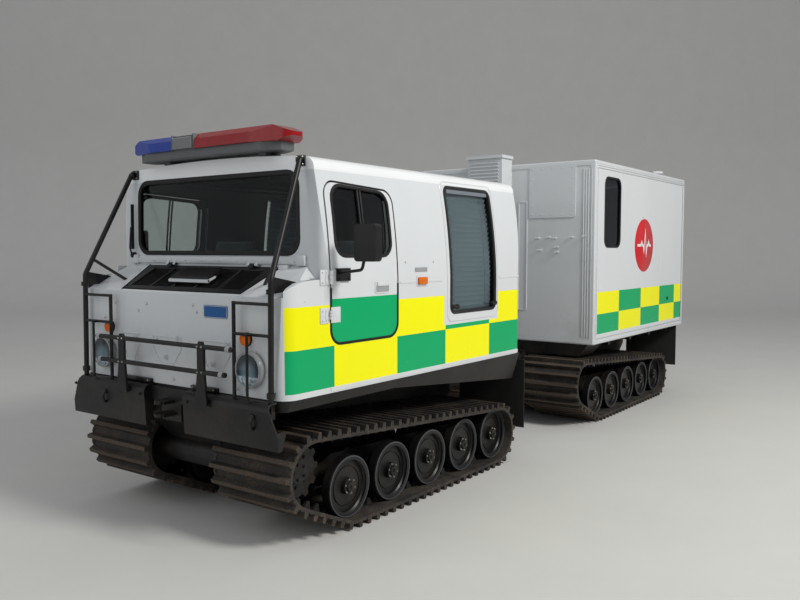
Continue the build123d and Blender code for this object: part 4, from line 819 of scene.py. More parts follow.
wiper = {"pivot": (3.012, -0.795, 1.640), "tip": (3.020, -0.780, 1.985),
         "boss": [(0.022, 0), (0.022, 0.016), (0.016, 0.028), (0, 0.030)],
         "blade": [(-0.003, -0.012), (0.003, -0.012), (0.007, 0), (0.005, 0.010), (-0.005, 0.010), (-0.007, 0)]}
pivot, tip = Vector(wiper["pivot"]), Vector(wiper["tip"])
arm = [pivot + Vector((0.012, 0, 0)), pivot + Vector((0.030, 0.004, 0.05)),
       pivot.lerp(tip, 0.55) + Vector((0.018, 0, 0))]
blade = [pivot.lerp(tip, share) + Vector((0.006, 0, 0)) for share in (0.12, 0.4, 0.7, 1.0)]
makePiece("wiper", "front_car", "blackPlastic", [
    (addTurned, (2.998, pivot.y, pivot.z), (1, 0, 0), wiper["boss"], 16), (addBar, arm, 0.006, 8),
    (addStrip, blade, (1, 0, 0), wiper["blade"])])
print("cab outside fitted")

# Nose: panel bolts, clips, pressed outlines and the blank plate

nose = {
    "face": (3.312, 3.298), "span": (0.862, 1.417), "facing": (1, 0, 0.02),
    "bolts": ((-0.588, 1.341), (-0.266, 1.347), (-0.348, 1.300), (0.170, 1.353), (0.205, 1.313), (-0.700, 1.24),
              (0.62, 0.905), (-0.62, 0.905), (0.0, 0.900), (0.560, 0.90)),
    "clips": ((-0.364, 1.129), (-0.154, 1.124), (0.037, 1.149), (0.236, 1.139), (-0.481, 1.026), (-0.070, 1.026),
              (0.356, 1.020), (0.470, 1.139)),
    "pressings": ((-0.500, -0.342), (-0.195, 0.065), (0.253, 0.493)), "pressingHeights": (1.152, 1.080, 0.985),
    "plate": ((0.271, 0.472), (1.285, 1.358)), "plateX": 1.32,
}


def faceX(z):
    low, high = nose["span"]
    return nose["face"][0] + (nose["face"][1] - nose["face"][0]) * (z - low) / (high - low)


def onNose(spots, lift=0.0):
    return [(faceX(z) + lift, y, z) for y, z in spots]


fasten("nosePanelBolts", "front_car", "white", boltShape, 1.7, nose["facing"], onNose(nose["bolts"]))
# a bent clip: a tab with a raised loop
loops = [[(-0.009, 0.005 * s, 0.002), (-0.006, 0.005 * s, 0.011), (0.008, 0.004 * s, 0.012), (0.010, 0.0, 0.006)]
         for s in (1, -1)]
clipShape = meshOf("sample", [(addBox, (-0.013, -0.009, -0.001), (0.013, 0.009, 0.003), 0.001)]
                   + [(addBar, loop, 0.0022, 6) for loop in loops])
marks = [(spot, nose["facing"], (0, 0, 1)) for spot in onNose(nose["clips"])]
repeatShape("nosePanelClips", "front_car", "white", clipShape, 1.25, marks)
steps = []
top, middle, low = nose["pressingHeights"]
for left, right in nose["pressings"]:
    inset = (right - left) * 0.27
    outline = [(left, top), (right, top), (right, middle), (right - inset, low), (left + inset, low), (left, middle)]
    steps.append((addTrim, onNose(outline), nose["facing"], bead(0.007, 0.003, 0.005)))
makePiece("nosePressings", "front_car", "white", steps)
plateX = faceX(nose["plateX"])
makePiece("blankPlate", "front_car", "bluePlate", [
    (addPrism, roundedOutline(boxCorners(*nose["plate"]), 0.008, 3), 0, plateX - 0.001, plateX + 0.004)])
inner = [(low + 0.004, high - 0.004) for low, high in nose["plate"]]
makeTrim("blankPlateEdge", "front_car", "plateEdge", onNose(roundedOutline(boxCorners(*inner), 0.006, 3), 0.004),
         (1, 0, 0), bead(0.0015, 0.001, 0.0012))

# Hatch: a net of whole wires, some across it and some along its slope, pressed together where they cross

hatch = {"x": (3.044, 3.238), "half": 0.512, "front": (3.298, 1.417), "slope": 0.5570,
         "scoop": (3.085, 3.195, -0.160, 0.185)}
net = {"across": 16, "along": 72, "wire": 0.0023, "press": 0.45, "below": 0.009}


def hoodZ(x):
    return hatch["front"][1] + (hatch["front"][0] - x) * hatch["slope"]


lean = atan2(hoodZ(3.0) - hoodZ(3.2), 0.2)
middleX = sum(hatch["x"]) / 2
slope, normal = Vector((cos(lean), 0, -sin(lean))), Vector((sin(lean), 0, cos(lean)))
centre = Vector((middleX, 0, hoodZ(middleX) - net["below"]))
length, width, wire = (hatch["x"][1] - hatch["x"][0]) / cos(lean), hatch["half"] * 2, net["wire"]
steps = []
for count, step, size, press in (
        (net["across"], slope * (length / (net["across"] - 1)), (wire, width, wire), net["press"]),
        (net["along"], Vector((0, width / (net["along"] - 1), 0)), (length, wire, wire), -net["press"])):
    start = centre - step * ((count - 1) / 2) + normal * (wire * press)
    steps.append((addMesh, rowMesh("blackTrim", count, start, step, size, (0, lean, 0))))
makePiece("hatchNet", "hatch_body", "blackTrim", steps)

x0, x1, y0, y1 = hatch["scoop"]
back, z0, z1 = x1 - 0.052, hoodZ(x0), hoodZ(x1)
outline = [(x0, z0 + 0.001), (x1, z1 + 0.001), (x1, z1 + 0.040), (x0, z0 + 0.034)]
makePiece("scoopBox", "hatch_body", "blackTrim", [(addPrism, outline, 1, y0, y1)])
front = [(x1 - 0.002, z1 + 0.010), (x1 + 0.012, z1 + 0.006), (x1 + 0.012, z1 + 0.022), (x1 - 0.002, z1 + 0.026)]
edge = [(back, hoodZ(back) + 0.006), (x1 + 0.010, z1 + 0.008), (x1 + 0.010, z1 + 0.022), (back, hoodZ(back) + 0.016)]
makePiece("scoopLip", "hatch_body", "white", [(addPrism, front, 1, y0 - 0.010, y1 + 0.010)]
          + [(addPrism, edge, 1, y, y + 0.010) for y in (y0 - 0.010, y1)])
slats = rowMesh("blackTrim", 7, (x0 + 0.012, (y0 + y1) / 2, z0 + 0.030), (0.016, 0, -0.0085),
                (0.010, y1 - y0 - 0.02, 0.002), (0, lean - 0.5, 0))
placePiece("scoopSlats", "hatch_body", "blackTrim", slats)
print("nose fitted")

# Lamps, guards and light bar

rims = {
    "lamp": ("lampBezels", "greyPaint", 40, [(0.088, 0.008), (0.088, 0.040), (0.091, 0.044), (0.098, 0.042),
                                             (0.102, 0.034), (0.102, 0.008), (0.098, 0.002)]),
    # the indicators' thin black rings are painted shade round their lenses
    "indicator": ("indicatorRims", "seal", 28, [(0.034, 0), (0.034, 0.008), (0.036, 0.010), (0.038, 0.009),
                                                (0.039, 0.004), (0.039, 0)]),
}
for key, (name, look, sides, profile) in rims.items():
    y, z = lamps[key]
    makePiece(name, "front_car", look, [
        (addRing, (faceX(z), sign * y, z), (1, 0, 0), profile, sides) for sign in (1, -1)])
y, z = lamps["lamp"]
spots = [(faceX(z) + 0.030, sign * y + 0.096 * cos(radians(a)), z + 0.096 * sin(radians(a)))
         for sign in (1, -1) for a in (40, 160, 280)]
fasten("bezelScrews", "front_car", "steel", rivetShape, 0.9, (1, 0, 0), spots)

guard = {
    "foot": (3.346, 0.857), "collars": ((0.880, 0.024, 0.030), (1.440, 0.022, 0.026)), "top": 0.765,
    "blocks": ((2.996, 3.012, 0.032, 2.150, 2.212), (3.008, 3.040, 0.010, 2.168, 2.200)),
    "pads": ((-0.482, -0.197), (0.181, 0.407)), "padBolts": (-0.46, -0.22, 0.20, 0.385),
    "rings": ((0.597, 1.132), (-0.606, 1.132), (0.540, 0.987), (-0.592, 0.987)),
    "ties": (0.763, -0.580), "tie": (3.392, 0.745, 0.020, 0.034),
}
x, y = guard["foot"]
steps = []
for sign in (1, -1):
    for z, radius, high in guard["collars"]:
        steps.append((addRing, (x, sign * y, z), (0, 0, 1), boxCorners((0.017, radius), (0, high)), 20))
    for x0, x1, half, z0, z1 in guard["blocks"]:
        top = sign * guard["top"]
        steps.append((addBox, (x0, top - half, z0), (x1, top + half, z1), 0.004))
steps += [(addBox, (3.300, low, 0.862), (3.336, high, 0.886), 0.003) for low, high in guard["pads"]]
makePiece("guardClamps", "front_car", "blackTrim", steps)
spots = [(3.4245, y, z) for y in (0.352, 0.388, -0.352, -0.388) for z in (1.132, 0.987)]
spots += [(3.336, y, 0.874) for y in guard["padBolts"]]
spots += [(3.014, y, z) for y in (0.742, 0.788, -0.742, -0.788) for z in (2.160, 2.202)]
fasten("guardBolts", "front_car", "steel", boltShape, 1.0, (1, 0, 0), spots)
makePiece("tubeRings", "front_car", "greyPaint", [
    (addRing, (3.410, y, z), (0, 1, 0), boxCorners((0.0142, 0.0175), (-0.014, 0.014)), 18) for y, z in guard["rings"]])
spots = [(3.396, y, 0.800) for y in (0.222, 0.420, 0.900, -0.222, -0.420, -0.900)]
fasten("bumperBolts", "front_car", "blackTrim", boltShape, 1.5, (1, 0, 0), spots)
x, z, wide, high = guard["tie"]
steps = []
for y in guard["ties"]:
    ring = [(x + wide * cos(k * pi / 8), y, z + high * sin(k * pi / 8)) for k in range(16)]
    steps += [(addHoop, ring, 0.0085, 10), (addBox, (3.380, y - 0.016, 0.764), (3.404, y + 0.016, 0.790), 0.004)]
makePiece("tieRings", "front_car", "blackTrim", steps)

bar = {"centre": (-0.235, -0.030), "ribs": 22, "ribPitch": 0.0083,
       "dome": [(0.052, 0.0), (0.053, 0.005), (0.048, 0.010), (0.034, 0.014), (0.016, 0.016), (0, 0.0165)]}
ribs = rowMesh("greyPaint", bar["ribs"], (3.1175, bar["centre"][0] + 0.015, 2.338), (0, bar["ribPitch"], 0),
               (0.008, 0.0036, 0.070), (0, 0, 0))
placePiece("barGrille", "front_car", "greyPaint", ribs)
steps = [(addBox, (2.862, y - 0.005, 2.296), (3.118, y + 0.005, 2.391), 0.004) for y in bar["centre"]]
steps.append((addTurned, (2.985, sum(bar["centre"]) / 2, 2.388), (0, 0, 1), bar["dome"], 28))
makePiece("barDome", "front_car", "grey", steps)
spots = [(x, y, 2.2995) for x in (2.90, 3.07) for y in (0.60, 0.33, -0.33, -0.60)]
fasten("barScrews", "front_car", "steel", rivetShape, 1.0, (0, 0, 1), spots)
print("lamps, guards and light bar detailed")

# Mirrors: silvered plates in their shells, bolts on their brackets and on the door hinges

mirrors = {"x": 2.865, "far": -0.190, "y": (1.094, 1.226), "z": (1.624, 1.808)}
for side, sign in bothSides:
    door, shift = doorBody("cab", side), 0 if sign > 0 else mirrors["far"]
    x = mirrors["x"] + shift
    outline = [(sign * y, z) for y, z in roundedOutline(boxCorners(mirrors["y"], mirrors["z"]), 0.018, 4)]
    makePiece("mirrorPlate" + side, door, "silver", [(addPrism, outline, 0, x - 0.003, x + 0.002)])
    spots = [(2.805 + shift + 0.082 * k, sign * 0.950, z) for k in (0, 1) for z in (1.512, 1.558)]
    fasten("mirrorBolts" + side, door, "blackTrim", boltShape, 1.0, (0, sign, 0), spots)
    spots = [(x, sign * 0.9405, z) for x in (2.990, 3.022) for z in (1.280, 1.334, 1.494, 1.550)]
    fasten("hingeBolts" + side, "front_car", "white", boltShape, 0.9, (0, sign, 0), spots)
print("mirrors and door hinges detailed")


# Running gear: guide horns, track clips, rings of tyre rubber, lighter rings painted as highlights on the wheels'
# edges, nuts and sprocket bolts

def beltMarks(lastX, firstX, hubX, hubHigh, outwards, offset):
    # place and outward angle of each bar, counted as the part counts them
    wheelR, sprocketR, wheelZ = gear["wheelR"], gear["sprocketR"], gear["wheelZ"]
    climb, taper = hubHigh - wheelZ, wheelR - sprocketR
    top = atan2(climb, hubX - lastX) + pi / 2 - taper / hypot(hubX - lastX, climb)
    fall = atan2(climb, hubX - firstX) - pi / 2 + taper / hypot(hubX - firstX, climb)
    rounds = ((lastX, wheelZ, wheelR), (hubX, hubHigh, sprocketR), (firstX, wheelZ, wheelR))
    turns = (3 * pi / 2, top, fall, -pi / 2)
    path = []
    for k, (cx, cz, r) in enumerate(rounds):
        start, end = turns[k], turns[k + 1]
        steps = max(2, ceil(abs(end - start) / 0.05))
        for j in range(steps):
            angle = start + (end - start) * j / steps
            path.append((cx + (r + outwards) * cos(angle), cz + (r + outwards) * sin(angle), angle))
        nextX, nextZ, nextR = rounds[(k + 1) % 3]
        for share in [j / 40 for j in range(40)]:
            reach = outwards + r + (nextR - r) * share
            path.append((cx + (nextX - cx) * share + reach * cos(end),
                         cz + (nextZ - cz) * share + reach * sin(end), end))
    lengths = [hypot(there[0] - here[0], there[1] - here[1]) for here, there in zip(path, path[1:] + path[:1])]
    total = sum(lengths)
    count = round(total / gear["pitch"])
    marks, walked, spot = [], 0.0, 0
    for k in range(count):
        goal = total * (k + offset) / count
        while walked + lengths[spot] < goal:
            walked += lengths[spot]
            spot += 1
        share = (goal - walked) / lengths[spot]
        (x, z, angle), there = path[spot], path[(spot + 1) % len(path)]
        marks.append((x + (there[0] - x) * share, z + (there[1] - z) * share, angle))
    return marks


def boltCircle(x, y, z, radius, count, start=0.0):
    # marks round a hub, the same on both sides of the car
    return [((x + radius * cos(a), sign * y, z + radius * sin(a)), (0, sign, 0), (1, 0, 0))
            for a in [2 * pi * k / count + start for k in range(count)] for sign in (1, -1)]


def addHorn(bm):
    # a pointed guide horn inside the belt, its broad foot on the rubber
    joinRings(bm, [[bm.verts.new((x, y, z)) for x, y in boxCorners((-a, a), (-b, b))]
                   for a, b, z in ((0.030, 0.012, 0), (0.010, 0.006, 0.044))])


# the clip that holds a bar to the belt's edge, with its bolt
cleat = [(addBox, (-0.016, -0.010, -0.001), (0.016, 0.010, 0.005), 0.002),
         (addTurned, (0, 0, 0.004), (0, 0, 1), [(0.0065, 0), (0.0065, 0.004), (0.005, 0.005)], 6)]
onBelt = (
    ("GuideHorns", "belt", meshOf("sample", [(addHorn,)]), -1, 0.0, 0.0, (0.785,)),
    ("CleatClips", "wornIron", meshOf("sample", cleat), 1, gear["belt"], 0.5, (0.915, 0.315)),
)
wheel = {
    "tyre": [(0.160, 0.0006), (0.1890, 0.0006), (0.1885, 0.0032), (0.184, 0.0042), (0.166, 0.0042), (0.160, 0.0026)],
    "rim": [(0.1800, 0.0036), (0.1862, 0.0036), (0.1850, 0.0054), (0.1812, 0.0054)],
    "cap": [(0.034, -0.002), (0.034, 0.004), (0.030, 0.010), (0.012, 0.012), (0.011, 0.018), (0, 0.019)],
    "disc": [(0.118, 0.0), (0.124, 0.0), (0.122, 0.006), (0.119, 0.006)],
    "faces": ((0.375, -1), (0.430, 1), (0.800, -1), (0.855, 1)), "outerFace": 0.855,
}
for car, (lastX, firstX, hubX, hubHigh) in wheels.items():
    body = car + "_car"
    for side, sign in bothSides:
        for name, look, shape, way, outwards, offset, rows in onBelt:
            bars = beltMarks(lastX, firstX, hubX, hubHigh, outwards, offset)
            marks = [((x, sign * y, z), (way * cos(a), 0, way * sin(a)), (-sin(a), 0, cos(a)))
                     for x, z, a in bars for y in rows]
            repeatShape(car + name + side, body, look, shape, 1.0, marks)
    z = gear["wheelZ"]
    hubs = [firstX + (lastX - firstX) * k / 4 for k in range(5)]
    ends = [(x, sign) for x in hubs for sign in (1, -1)]
    makePiece(car + "TyreRings", body, "tyre", [
        (addRing, (x, sign * y, z), (0, sign * way, 0), wheel["tyre"], 48)
        for x, sign in ends for y, way in wheel["faces"]])
    # a thin lighter ring on each wheel's outer face, painted as the highlight along its edge
    makePiece(car + "RimEdges", body, "rimEdge", [
        (addRing, (x, sign * wheel["outerFace"], z), (0, sign, 0), wheel["rim"], 48) for x, sign in ends])
    marks = [mark for x in hubs for mark in boltCircle(x, 0.8595, z, 0.044, 6, 0.3)]
    repeatShape(car + "WheelNuts", body, "steel", boltShape, 0.9, marks)
    steps = []
    for x, sign in ends:
        steps += [(addTurned, (x, sign * 0.860, z), (0, sign, 0), wheel["cap"], 24),
                  (addRing, (x, sign * 0.828, z), (0, sign, 0), wheel["disc"], 36)]
    makePiece(car + "HubCaps", body, "wheel", steps)
    marks = boltCircle(hubX, 0.770, hubHigh, 0.098, 8) + boltCircle(hubX, 0.800, hubHigh, 0.045, 5)
    repeatShape(car + "SprocketBolts", body, "wheel", boltShape, 1.7, marks)
print("running gear detailed")

# Rear car: rounds, rivets, front wall fittings, vents and rear doors

box = {
    "side": 0.975, "wallX": -0.735, "round": (-2.072, 1.73, 0.280), "pulse": 0.013,
    "beats": ((-0.205, 0), (-0.105, 0), (-0.080, 0.035), (-0.052, 0), (-0.030, 0), (-0.008, -0.060), (0.028, 0.150),
              (0.062, -0.095), (0.084, 0), (0.112, 0), (0.134, 0.040), (0.158, 0), (0.205, 0)),
    "filler": [(0.021, 0), (0.021, 0.004), (0.017, 0.009), (0.009, 0.009), (0.007, 0.006), (0, 0.006)],
    "clips": ((0.392, 1.796), (0.509, 1.804), (0.572, 1.794), (0.747, 1.802), (0.594, 1.708), (0.595, 1.66),
              (0.415, 1.679), (0.877, 1.81)),
    "plate": ((0.298, 0.780), (1.990, 2.490)), "frame": ((0.180, 0.270), (1.090, 2.150)),
    "ridges": (0.860, 0.885, 0.910, 0.940), "beadY": (0.9785, 0.9830),
    "beadHeights": (2.452, 2.492, 0.812, 0.846), "beadPlaces": (-0.752, -0.785, -3.375, -3.408),
}


def addPulse(bm, x, z, sign):
    # a raised line of even width: level, small bump, deep spike, level
    path = [Vector((x - sign * a, sign * (box["side"] + 0.0017), z + b)) for a, b in box["beats"]]
    away, lift = Vector((0, sign, 0)), Vector((0, sign * 0.0012, 0))
    edges = [(after - before).normalized().cross(away).normalized() for before, after in zip(path, path[1:])]
    rings = []
    for spot, first, last in zip(path, edges[:1] + edges, edges + edges[-1:]):
        aside = (first + last).normalized()
        aside *= box["pulse"] / max(0.35, aside.dot(first))
        corners = (spot + aside, spot + aside + lift, spot - aside + lift, spot - aside)
        rings.append([bm.verts.new(corner) for corner in corners])
    joinRings(bm, rings)


for side, sign in bothSides:
    out = (0, sign, 0)
    x, z, radius = box["round"]
    disc = [(radius, -0.0005), (radius, 0.0012), (radius - 0.001, 0.0018), (0, 0.0018)]
    makePiece("careRound" + side, "rear_car", "signRed", [(addTurned, (x, sign * box["side"], z), out, disc, 96)])
    makePiece("pulseLine" + side, "rear_car", "signWhite", [(addPulse, x, z, sign)])
    spots = [(x, sign * 0.980, 0.86 + 0.134 * k) for x in (-0.775, -3.385) for k in range(13)]
    spots += [(-0.80 - 0.1985 * k, sign * 0.980, z) for z in (0.815, 2.478) for k in range(14)]
    fasten("boxRivets" + side, "rear_car", "white", rivetShape, 0.95, out, spots)
    spots = [(x, sign * box["side"], z) for x, z in ((-2.021, 2.03), (-2.126, 1.283))]
    fasten("boxBolts" + side, "rear_car", "white", boltShape, 1.6, out, spots)
    makePiece("fillerCap" + side, "rear_car", "blackPlastic", [
        (addTurned, (-2.874, sign * 0.974, 1.129), out, box["filler"], 24)])
    inner, outer = [sign * y for y in box["beadY"]]
    makePiece("railBeads" + side, "rear_car", "white", [
        (addBox, (-3.420, inner, z - 0.004), (-0.740, outer, z + 0.004), 0.0015) for z in box["beadHeights"]] + [
        (addBox, (x - 0.004, inner, 0.850), (x + 0.004, outer, 2.448), 0.0015) for x in box["beadPlaces"]])

steps = [(addPrism, roundedOutline(boxCorners(*box["plate"]), 0.020, 3), 0, -0.736, -0.727)]
steps += [(addBox, (-0.737, y - 0.005, 0.86), (-0.728, y + 0.005, 2.44), 0.003)
          for ridge in box["ridges"] for y in (ridge, -ridge)]
ring = [(box["wallX"], y, z) for y, z in roundedOutline(boxCorners(*box["frame"]), 0.015, 3)]
steps.append((addTrim, ring, (1, 0, 0), bead(0.008, 0.006, 0.005)))
makePiece("frontWallPlates", "rear_car", "white", steps)
(y0, y1), (z0, z1) = box["plate"]
spots = [(-0.727, y0 + 0.03 + (y1 - y0 - 0.06) * k / 4, z) for k in range(5) for z in (z0 + 0.03, z1 - 0.03)]
spots += [(-0.727, y, z0 + (z1 - z0) * k / 4) for k in range(1, 4) for y in (y0 + 0.03, y1 - 0.03)]
fasten("frontWallRivets", "rear_car", "white", rivetShape, 1.2, (1, 0, 0), spots)

# a sprung clip for a long-handled tool
prongs = [[(0.016 * s, 0, 0.002), (0.020 * s, 0, 0.018), (0.014 * s, 0, 0.034), (0.020 * s, 0, 0.042)]
          for s in (-1, 1)]
toolClip = meshOf("sample", [(addBox, (-0.022, -0.012, -0.001), (0.022, 0.012, 0.003), 0.001)]
                  + [(addBar, prong, 0.004, 8) for prong in prongs])
spots = [(box["wallX"], y, z) for y, z in box["clips"]]
fasten("toolClips", "rear_car", "white", toolClip, 0.9, (1, 0, 0), spots)
vent = {"louvres": 9, "low": (-0.527, -0.090, 2.250), "pitch": 0.034, "size": (0.010, 0.310, 0.020),
        "tilt": radians(38)}
louvres = rowMesh("white", vent["louvres"], vent["low"], (0, 0, vent["pitch"]), vent["size"], (0, vent["tilt"], 0))
placePiece("ventLouvres", "rear_car", "white", louvres)
spots = [(x, 0.1005, z) for x in (-0.70, -0.57) for z in (2.24, 2.40, 2.54)]
fasten("ventRivets", "rear_car", "white", rivetShape, 1.0, (0, 1, 0), spots)

# the left leaf has the long rod with its guides and handle, the right one a plate and a grab bar
locks = {
    "Left": [(addBar, [(-3.436, 0.052, 0.90), (-3.436, 0.052, 1.60), (-3.436, 0.052, 2.42)], 0.010, 12)]
    + [(addBox, (-3.440, 0.030, z - 0.018), (-3.425, 0.074, z + 0.018), 0.004) for z in (0.96, 1.28, 1.78, 2.10, 2.36)]
    + [(addBox, (-3.443, 0.030, 1.395), (-3.425, 0.130, 1.465), 0.006),
       (addBar, [(-3.441, 0.060, 1.43), (-3.4435, 0.160, 1.43), (-3.4435, 0.250, 1.425)], 0.006, 10)],
    "Right": [(addBox, (-3.440, -0.110, 1.395), (-3.425, -0.030, 1.465), 0.006),
              (addBar, [(-3.430, -0.20, 1.30), (-3.443, -0.215, 1.33), (-3.443, -0.215, 1.47), (-3.430, -0.20, 1.50)],
               0.006, 10)],
}
tails = (("tailLamp", "redLens", 0.90, 1.02), ("tailIndicator", "amber", 1.04, 1.12))
for side, sign in bothSides:
    body = doorBody("rear", side)
    makePiece("rearLock" + side, body, "blackTrim", locks[side])
    outline = roundedOutline(boxCorners((0.030, 0.890), (0.850, 2.440)), 0.05, 4)
    loop = faced([(windows["leafX"], sign * y, z) for y, z in outline], -sign)
    makeTrim("rearLeafBead" + side, body, "white", loop, (-1, 0, 0), bead(0.006, 0.004, 0.003))
    for name, look, low, high in tails:
        makePiece(name + side, "rear_car", look, [
            (addBox, (-3.4445, sign * 0.935, low), (-3.429, sign * 0.972, high), 0.004)])
print("rear car detailed")


# Soft things: two padded seats, the stretcher mattress and its pillow

def padForm(low, high, corners, crown, cuts):
    # a cushion: its faces crown between the edges and its sides pull in between the corners
    bm = bmesh.new()
    middle, half = (Vector(low) + Vector(high)) / 2, (Vector(high) - Vector(low)) / 2
    nx, ny, nz = cuts
    spots = {}

    def vertex(i, j, k):
        key = (i, j, k)
        if key not in spots:
            u, v, w = 2 * i / nx - 1, 2 * j / ny - 1, 2 * k / nz - 1
            swell = (1 - u * u) * (1 - v * v)
            pull = 1 - corners * ((1 - u * u) * abs(v) ** 3 * 0.5 + (1 - v * v) * abs(u) ** 3 * 0.5)
            edge = max(abs(u), abs(v))
            thin = 1 - 0.45 * max(0.0, (edge - 0.72) / 0.28) ** 2
            bulge = 1 + 0.035 * (1 - w * w) * (edge ** 8)
            x = u * half.x * pull * bulge
            y = v * half.y * pull * bulge
            z = w * half.z * thin * (1 - crown + crown * swell ** 0.6)
            spots[key] = bm.verts.new(middle + Vector((x, y, z)))
        return spots[key]

    def face(*corners):
        bm.faces.new([vertex(*corner) for corner in corners])

    for i in range(nx):
        for j in range(ny):
            for k in (0, nz):
                face((i, j, k), (i + 1, j, k), (i + 1, j + 1, k), (i, j + 1, k))
    for k in range(nz):
        for i in range(nx):
            for j in (0, ny):
                face((i, j, k), (i + 1, j, k), (i + 1, j, k + 1), (i, j, k + 1))
        for j in range(ny):
            for i in (0, nx):
                face((i, j, k), (i, j + 1, k), (i, j + 1, k + 1), (i, j, k + 1))
    bmesh.ops.recalc_face_normals(bm, faces=bm.faces)
    return bm


def plump(bm, pressure, cap):
    # a short cloth run fills the cushion; no point moves further than cap
    data = emptied(bm, "pad")
    pad = addObject("pad", data)
    before = [vertex.co.copy() for vertex in data.vertices]
    cloth = pad.modifiers.new("fill", "CLOTH")
    cloth.settings.use_pressure = True
    cloth.settings.uniform_pressure_force = pressure
    cloth.settings.tension_stiffness = cloth.settings.compression_stiffness = 40
    cloth.settings.bending_stiffness = 2
    cloth.settings.effector_weights.gravity = 0
    cloth.point_cache.frame_start, cloth.point_cache.frame_end = 1, 12
    for step in range(1, 13):
        bpy.context.scene.frame_set(step)
        bpy.context.view_layer.update()
    filled = evaluated(pad)
    pad.modifiers.clear()
    for vertex, start, end in zip(data.vertices, before, filled.vertices):
        shift = end.co - start
        vertex.co = start + shift * min(1.0, cap / max(shift.length, 1e-6))
    bpy.context.scene.frame_set(1)
    pad.modifiers.new("finer", "SUBSURF").levels = 1
    smooth = evaluated(pad)
    bpy.data.objects.remove(pad)
    return smooth


seats = {
    "middle": 0.520, "half": 0.214, "cushion": (2.330, 2.800, 1.155, 1.262),
    "columns": ((-1, -0.42), (-0.40, 0.40), (0.42, 1)), "rows": ((0.0, 0.165), (0.170, 0.335), (0.340, 0.500)),
    "thick": 0.110, "hip": (2.405, 1.240), "lean": -0.155,
    "bar": ((2.345, 0.17, 1.16), (2.362, 0.17, 1.26), (2.293, 0.155, 1.700)),
    "base": ((2.345, 2.770, 0.190, 0.866, 1.120, 0.020), (2.335, 2.795, 0.205, 1.118, 1.162, 0.015)),
}
for side, sign in bothSides:
    middle, half = sign * seats["middle"], seats["half"]
    makePiece("seatBase" + side, "front_car", "blackTrim", [
        (addBox, (back, middle - wide, low), (front, middle + wide, high), bevel)
        for back, front, wide, low, high, bevel in seats["base"]], 40)
    x0, x1, z0, z1 = seats["cushion"]
    for k, (low, high) in enumerate(seats["columns"]):
        bm = padForm((x0, middle + low * half, z0), (x1, middle + high * half, z1), 0.05, 0.34, (16, 8, 4))
        piece = placePiece("seatCushion%s%d" % (side, k + 1), "front_car", "cloth", plump(bm, 3.0, 0.010), 60)
        if k == 0 and sign > 0:
            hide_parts("cab_seats")
    # the back's pads are made lying down, so that they crown over their thickness, then stood up with its lean
    place = Vector((seats["hip"][0], middle, seats["hip"][1]))
    stand = Matrix.Translation(place) @ Matrix.Rotation(seats["lean"] - pi / 2, 4, "Y")
    for k, (low, top) in enumerate(seats["rows"]):
        wide, thick = half * (1 - 0.05 * k), seats["thick"] / 2
        data = plump(padForm((low, -wide, -thick), (top, wide, thick), 0.05, 0.30, (6, 16, 4)), 3.0, 0.008)
        data.transform(stand)
        placePiece("seatBack%s%d" % (side, k + 1), "front_car", "cloth", data, 60)
    bar = [(x, middle - y, z) for x, y, z in seats["bar"]] + [(x, middle + y, z) for x, y, z in seats["bar"][::-1]]
    makePiece("seatFrame" + side, "front_car", "blackTrim", [(addBar, bar, 0.011, 10)], 50)

bed = {
    "pad": ((-3.095, -0.795, 1.260), (-1.265, -0.325, 1.330)),
    "pillow": ((-1.560, -0.745, 1.322), (-1.300, -0.375, 1.400)),
    "frame": ((-3.130, -1.230), (-0.810, -0.310)), "frameZ": 1.256, "crossX": (-2.98, -2.18, -1.38),
    "legX": (-2.98, -1.38), "legY": (-0.76, -0.36), "legZ": (1.25, 0.90), "stayX": (-2.985, -1.375), "stayZ": 0.95,
    "wheelZ": 0.864, "wheel": [(0, 0), (0.040, 0), (0.040, 0.024), (0, 0.024)],
}
mattress = plump(padForm(*bed["pad"], 0.02, 0.22, (40, 12, 4)), 3.0, 0.010)
piece = placePiece("stretcherMattress", "rear_car", "mattress", mattress, 60)
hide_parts("stretcher")
pillow = plump(padForm(*bed["pillow"], 0.10, 0.55, (10, 14, 4)), 4.0, 0.012)
placePiece("stretcherPillow", "rear_car", "pillow", pillow, 60)
high, stay = bed["frameZ"], bed["stayZ"]
steps = [(addHoop, [(x, y, high) for x, y in roundedOutline(boxCorners(*bed["frame"]), 0.10, 6, 2)], 0.014, 10)]
steps += [(addBar, [(x, y, high) for y in bed["frame"][1]], 0.010, 8) for x in bed["crossX"]]
for x in bed["legX"]:
    for y in bed["legY"]:
        steps += [(addBar, [(x, y, z) for z in bed["legZ"]], 0.013, 10),
                  (addTurned, (x, y - 0.012, bed["wheelZ"]), (0, 1, 0), bed["wheel"], 20)]
    steps.append((addBar, [(x, y, stay) for y in bed["legY"]], 0.009, 8))
steps += [(addBar, [(x, y, stay) for x in bed["stayX"]], 0.009, 8) for y in bed["legY"]]
makePiece("stretcherFrame", "rear_car", "steel", steps, 50)
print("seats and stretcher padded")

# Camera, floor and soft light

view = {"place": (6.356, 3.913, 1.674), "yaw": 36.179, "pitch": -3.555, "roll": 0.061, "lens": 35.92, "sensor": 36}
studio = {"near": -30, "far": 14, "bend": 6, "top": 24, "half": 45, "key": 1150, "fill": 60, "sky": 0.46}


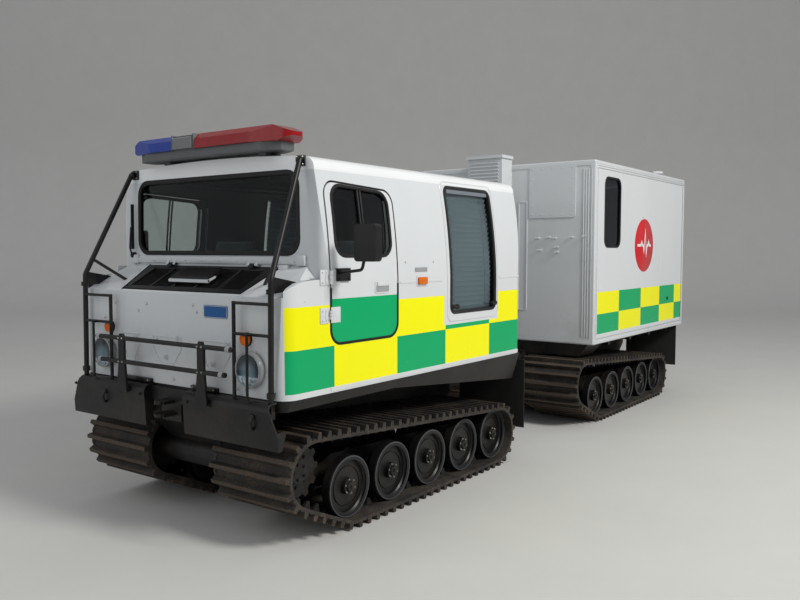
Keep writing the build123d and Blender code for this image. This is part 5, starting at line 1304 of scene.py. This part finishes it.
def makeCamera():
    data = bpy.data.cameras.new("view")
    data.lens, data.sensor_width, data.clip_end = view["lens"], view["sensor"], 200
    camera = addObject("view", data)
    yaw, pitch, roll = (radians(view[key]) for key in ("yaw", "pitch", "roll"))
    ahead = Vector((-cos(yaw) * cos(pitch), -sin(yaw) * cos(pitch), sin(pitch)))
    right = ahead.cross(Vector((0, 0, 1))).normalized()
    up = right.cross(ahead)
    right, up = cos(roll) * right + sin(roll) * up, cos(roll) * up - sin(roll) * right
    turn = Matrix((right, up, -ahead)).transposed()
    camera.matrix_world = Matrix.Translation(view["place"]) @ turn.to_4x4()
    bpy.context.scene.camera = camera


def makeFloor():
    # a floor that curves up far behind the vehicle, one smooth sheet
    bm = bmesh.new()
    far, bend = studio["far"], studio["bend"]
    profile = [(studio["near"], 0), (far, 0)]
    profile += [(far + bend * sin(a * pi / 24), bend - bend * cos(a * pi / 24)) for a in range(1, 13)]
    profile.append((far + bend, studio["top"]))
    ahead = Vector((-cos(radians(view["yaw"])), -sin(radians(view["yaw"])), 0))
    side = Vector((-ahead.y, ahead.x, 0)) * studio["half"]
    rows = []
    for along, high in profile:
        spot = ahead * along + Vector((0, 0, high))
        rows.append([bm.verts.new(spot - side), bm.verts.new(spot + side)])
    for low, high in zip(rows, rows[1:]):
        bm.faces.new((low[0], low[1], high[1], high[0]))
    data = emptied(bm, "floor")
    data.shade_smooth()
    floor = addObject("floor", data)
    finish = Finish("studioFloor")
    shade = finish.blend(finish.noise(1.6, 5), tone(196, 195, 192), tone(205, 204, 200))
    data.materials.append(finish.done(shade, finish.noise(24, 3) * 0.1 + 0.8))


def makeLamp(name, place, aim, size, power, colour=(1, 1, 1)):
    data = bpy.data.lights.new(name, "AREA")
    data.shape, data.size, data.energy, data.color = "DISK", size, power, colour
    turn = (Vector(aim) - Vector(place)).to_track_quat("-Z", "Y").to_matrix().to_4x4()
    addObject(name, data).matrix_world = Matrix.Translation(place) @ turn


makeCamera()
makeFloor()
makeLamp("keyLamp", (1.5, 10.5, 8.5), (0, 0, 0.8), 3.0, studio["key"], (1, 0.985, 0.95))
makeLamp("fillLamp", (8, -2, 4), (0.5, 0, 0.8), 5.0, studio["fill"])
world = bpy.data.worlds.new("studio")
bpy.context.scene.world = world
world.use_nodes = True
backdrop = world.node_tree.nodes["Background"]
backdrop.inputs["Color"].default_value = (0.93, 0.96, 1, 1)
backdrop.inputs["Strength"].default_value = studio["sky"]
bpy.context.scene.view_settings.view_transform = "Standard"
print("camera, floor and light made")
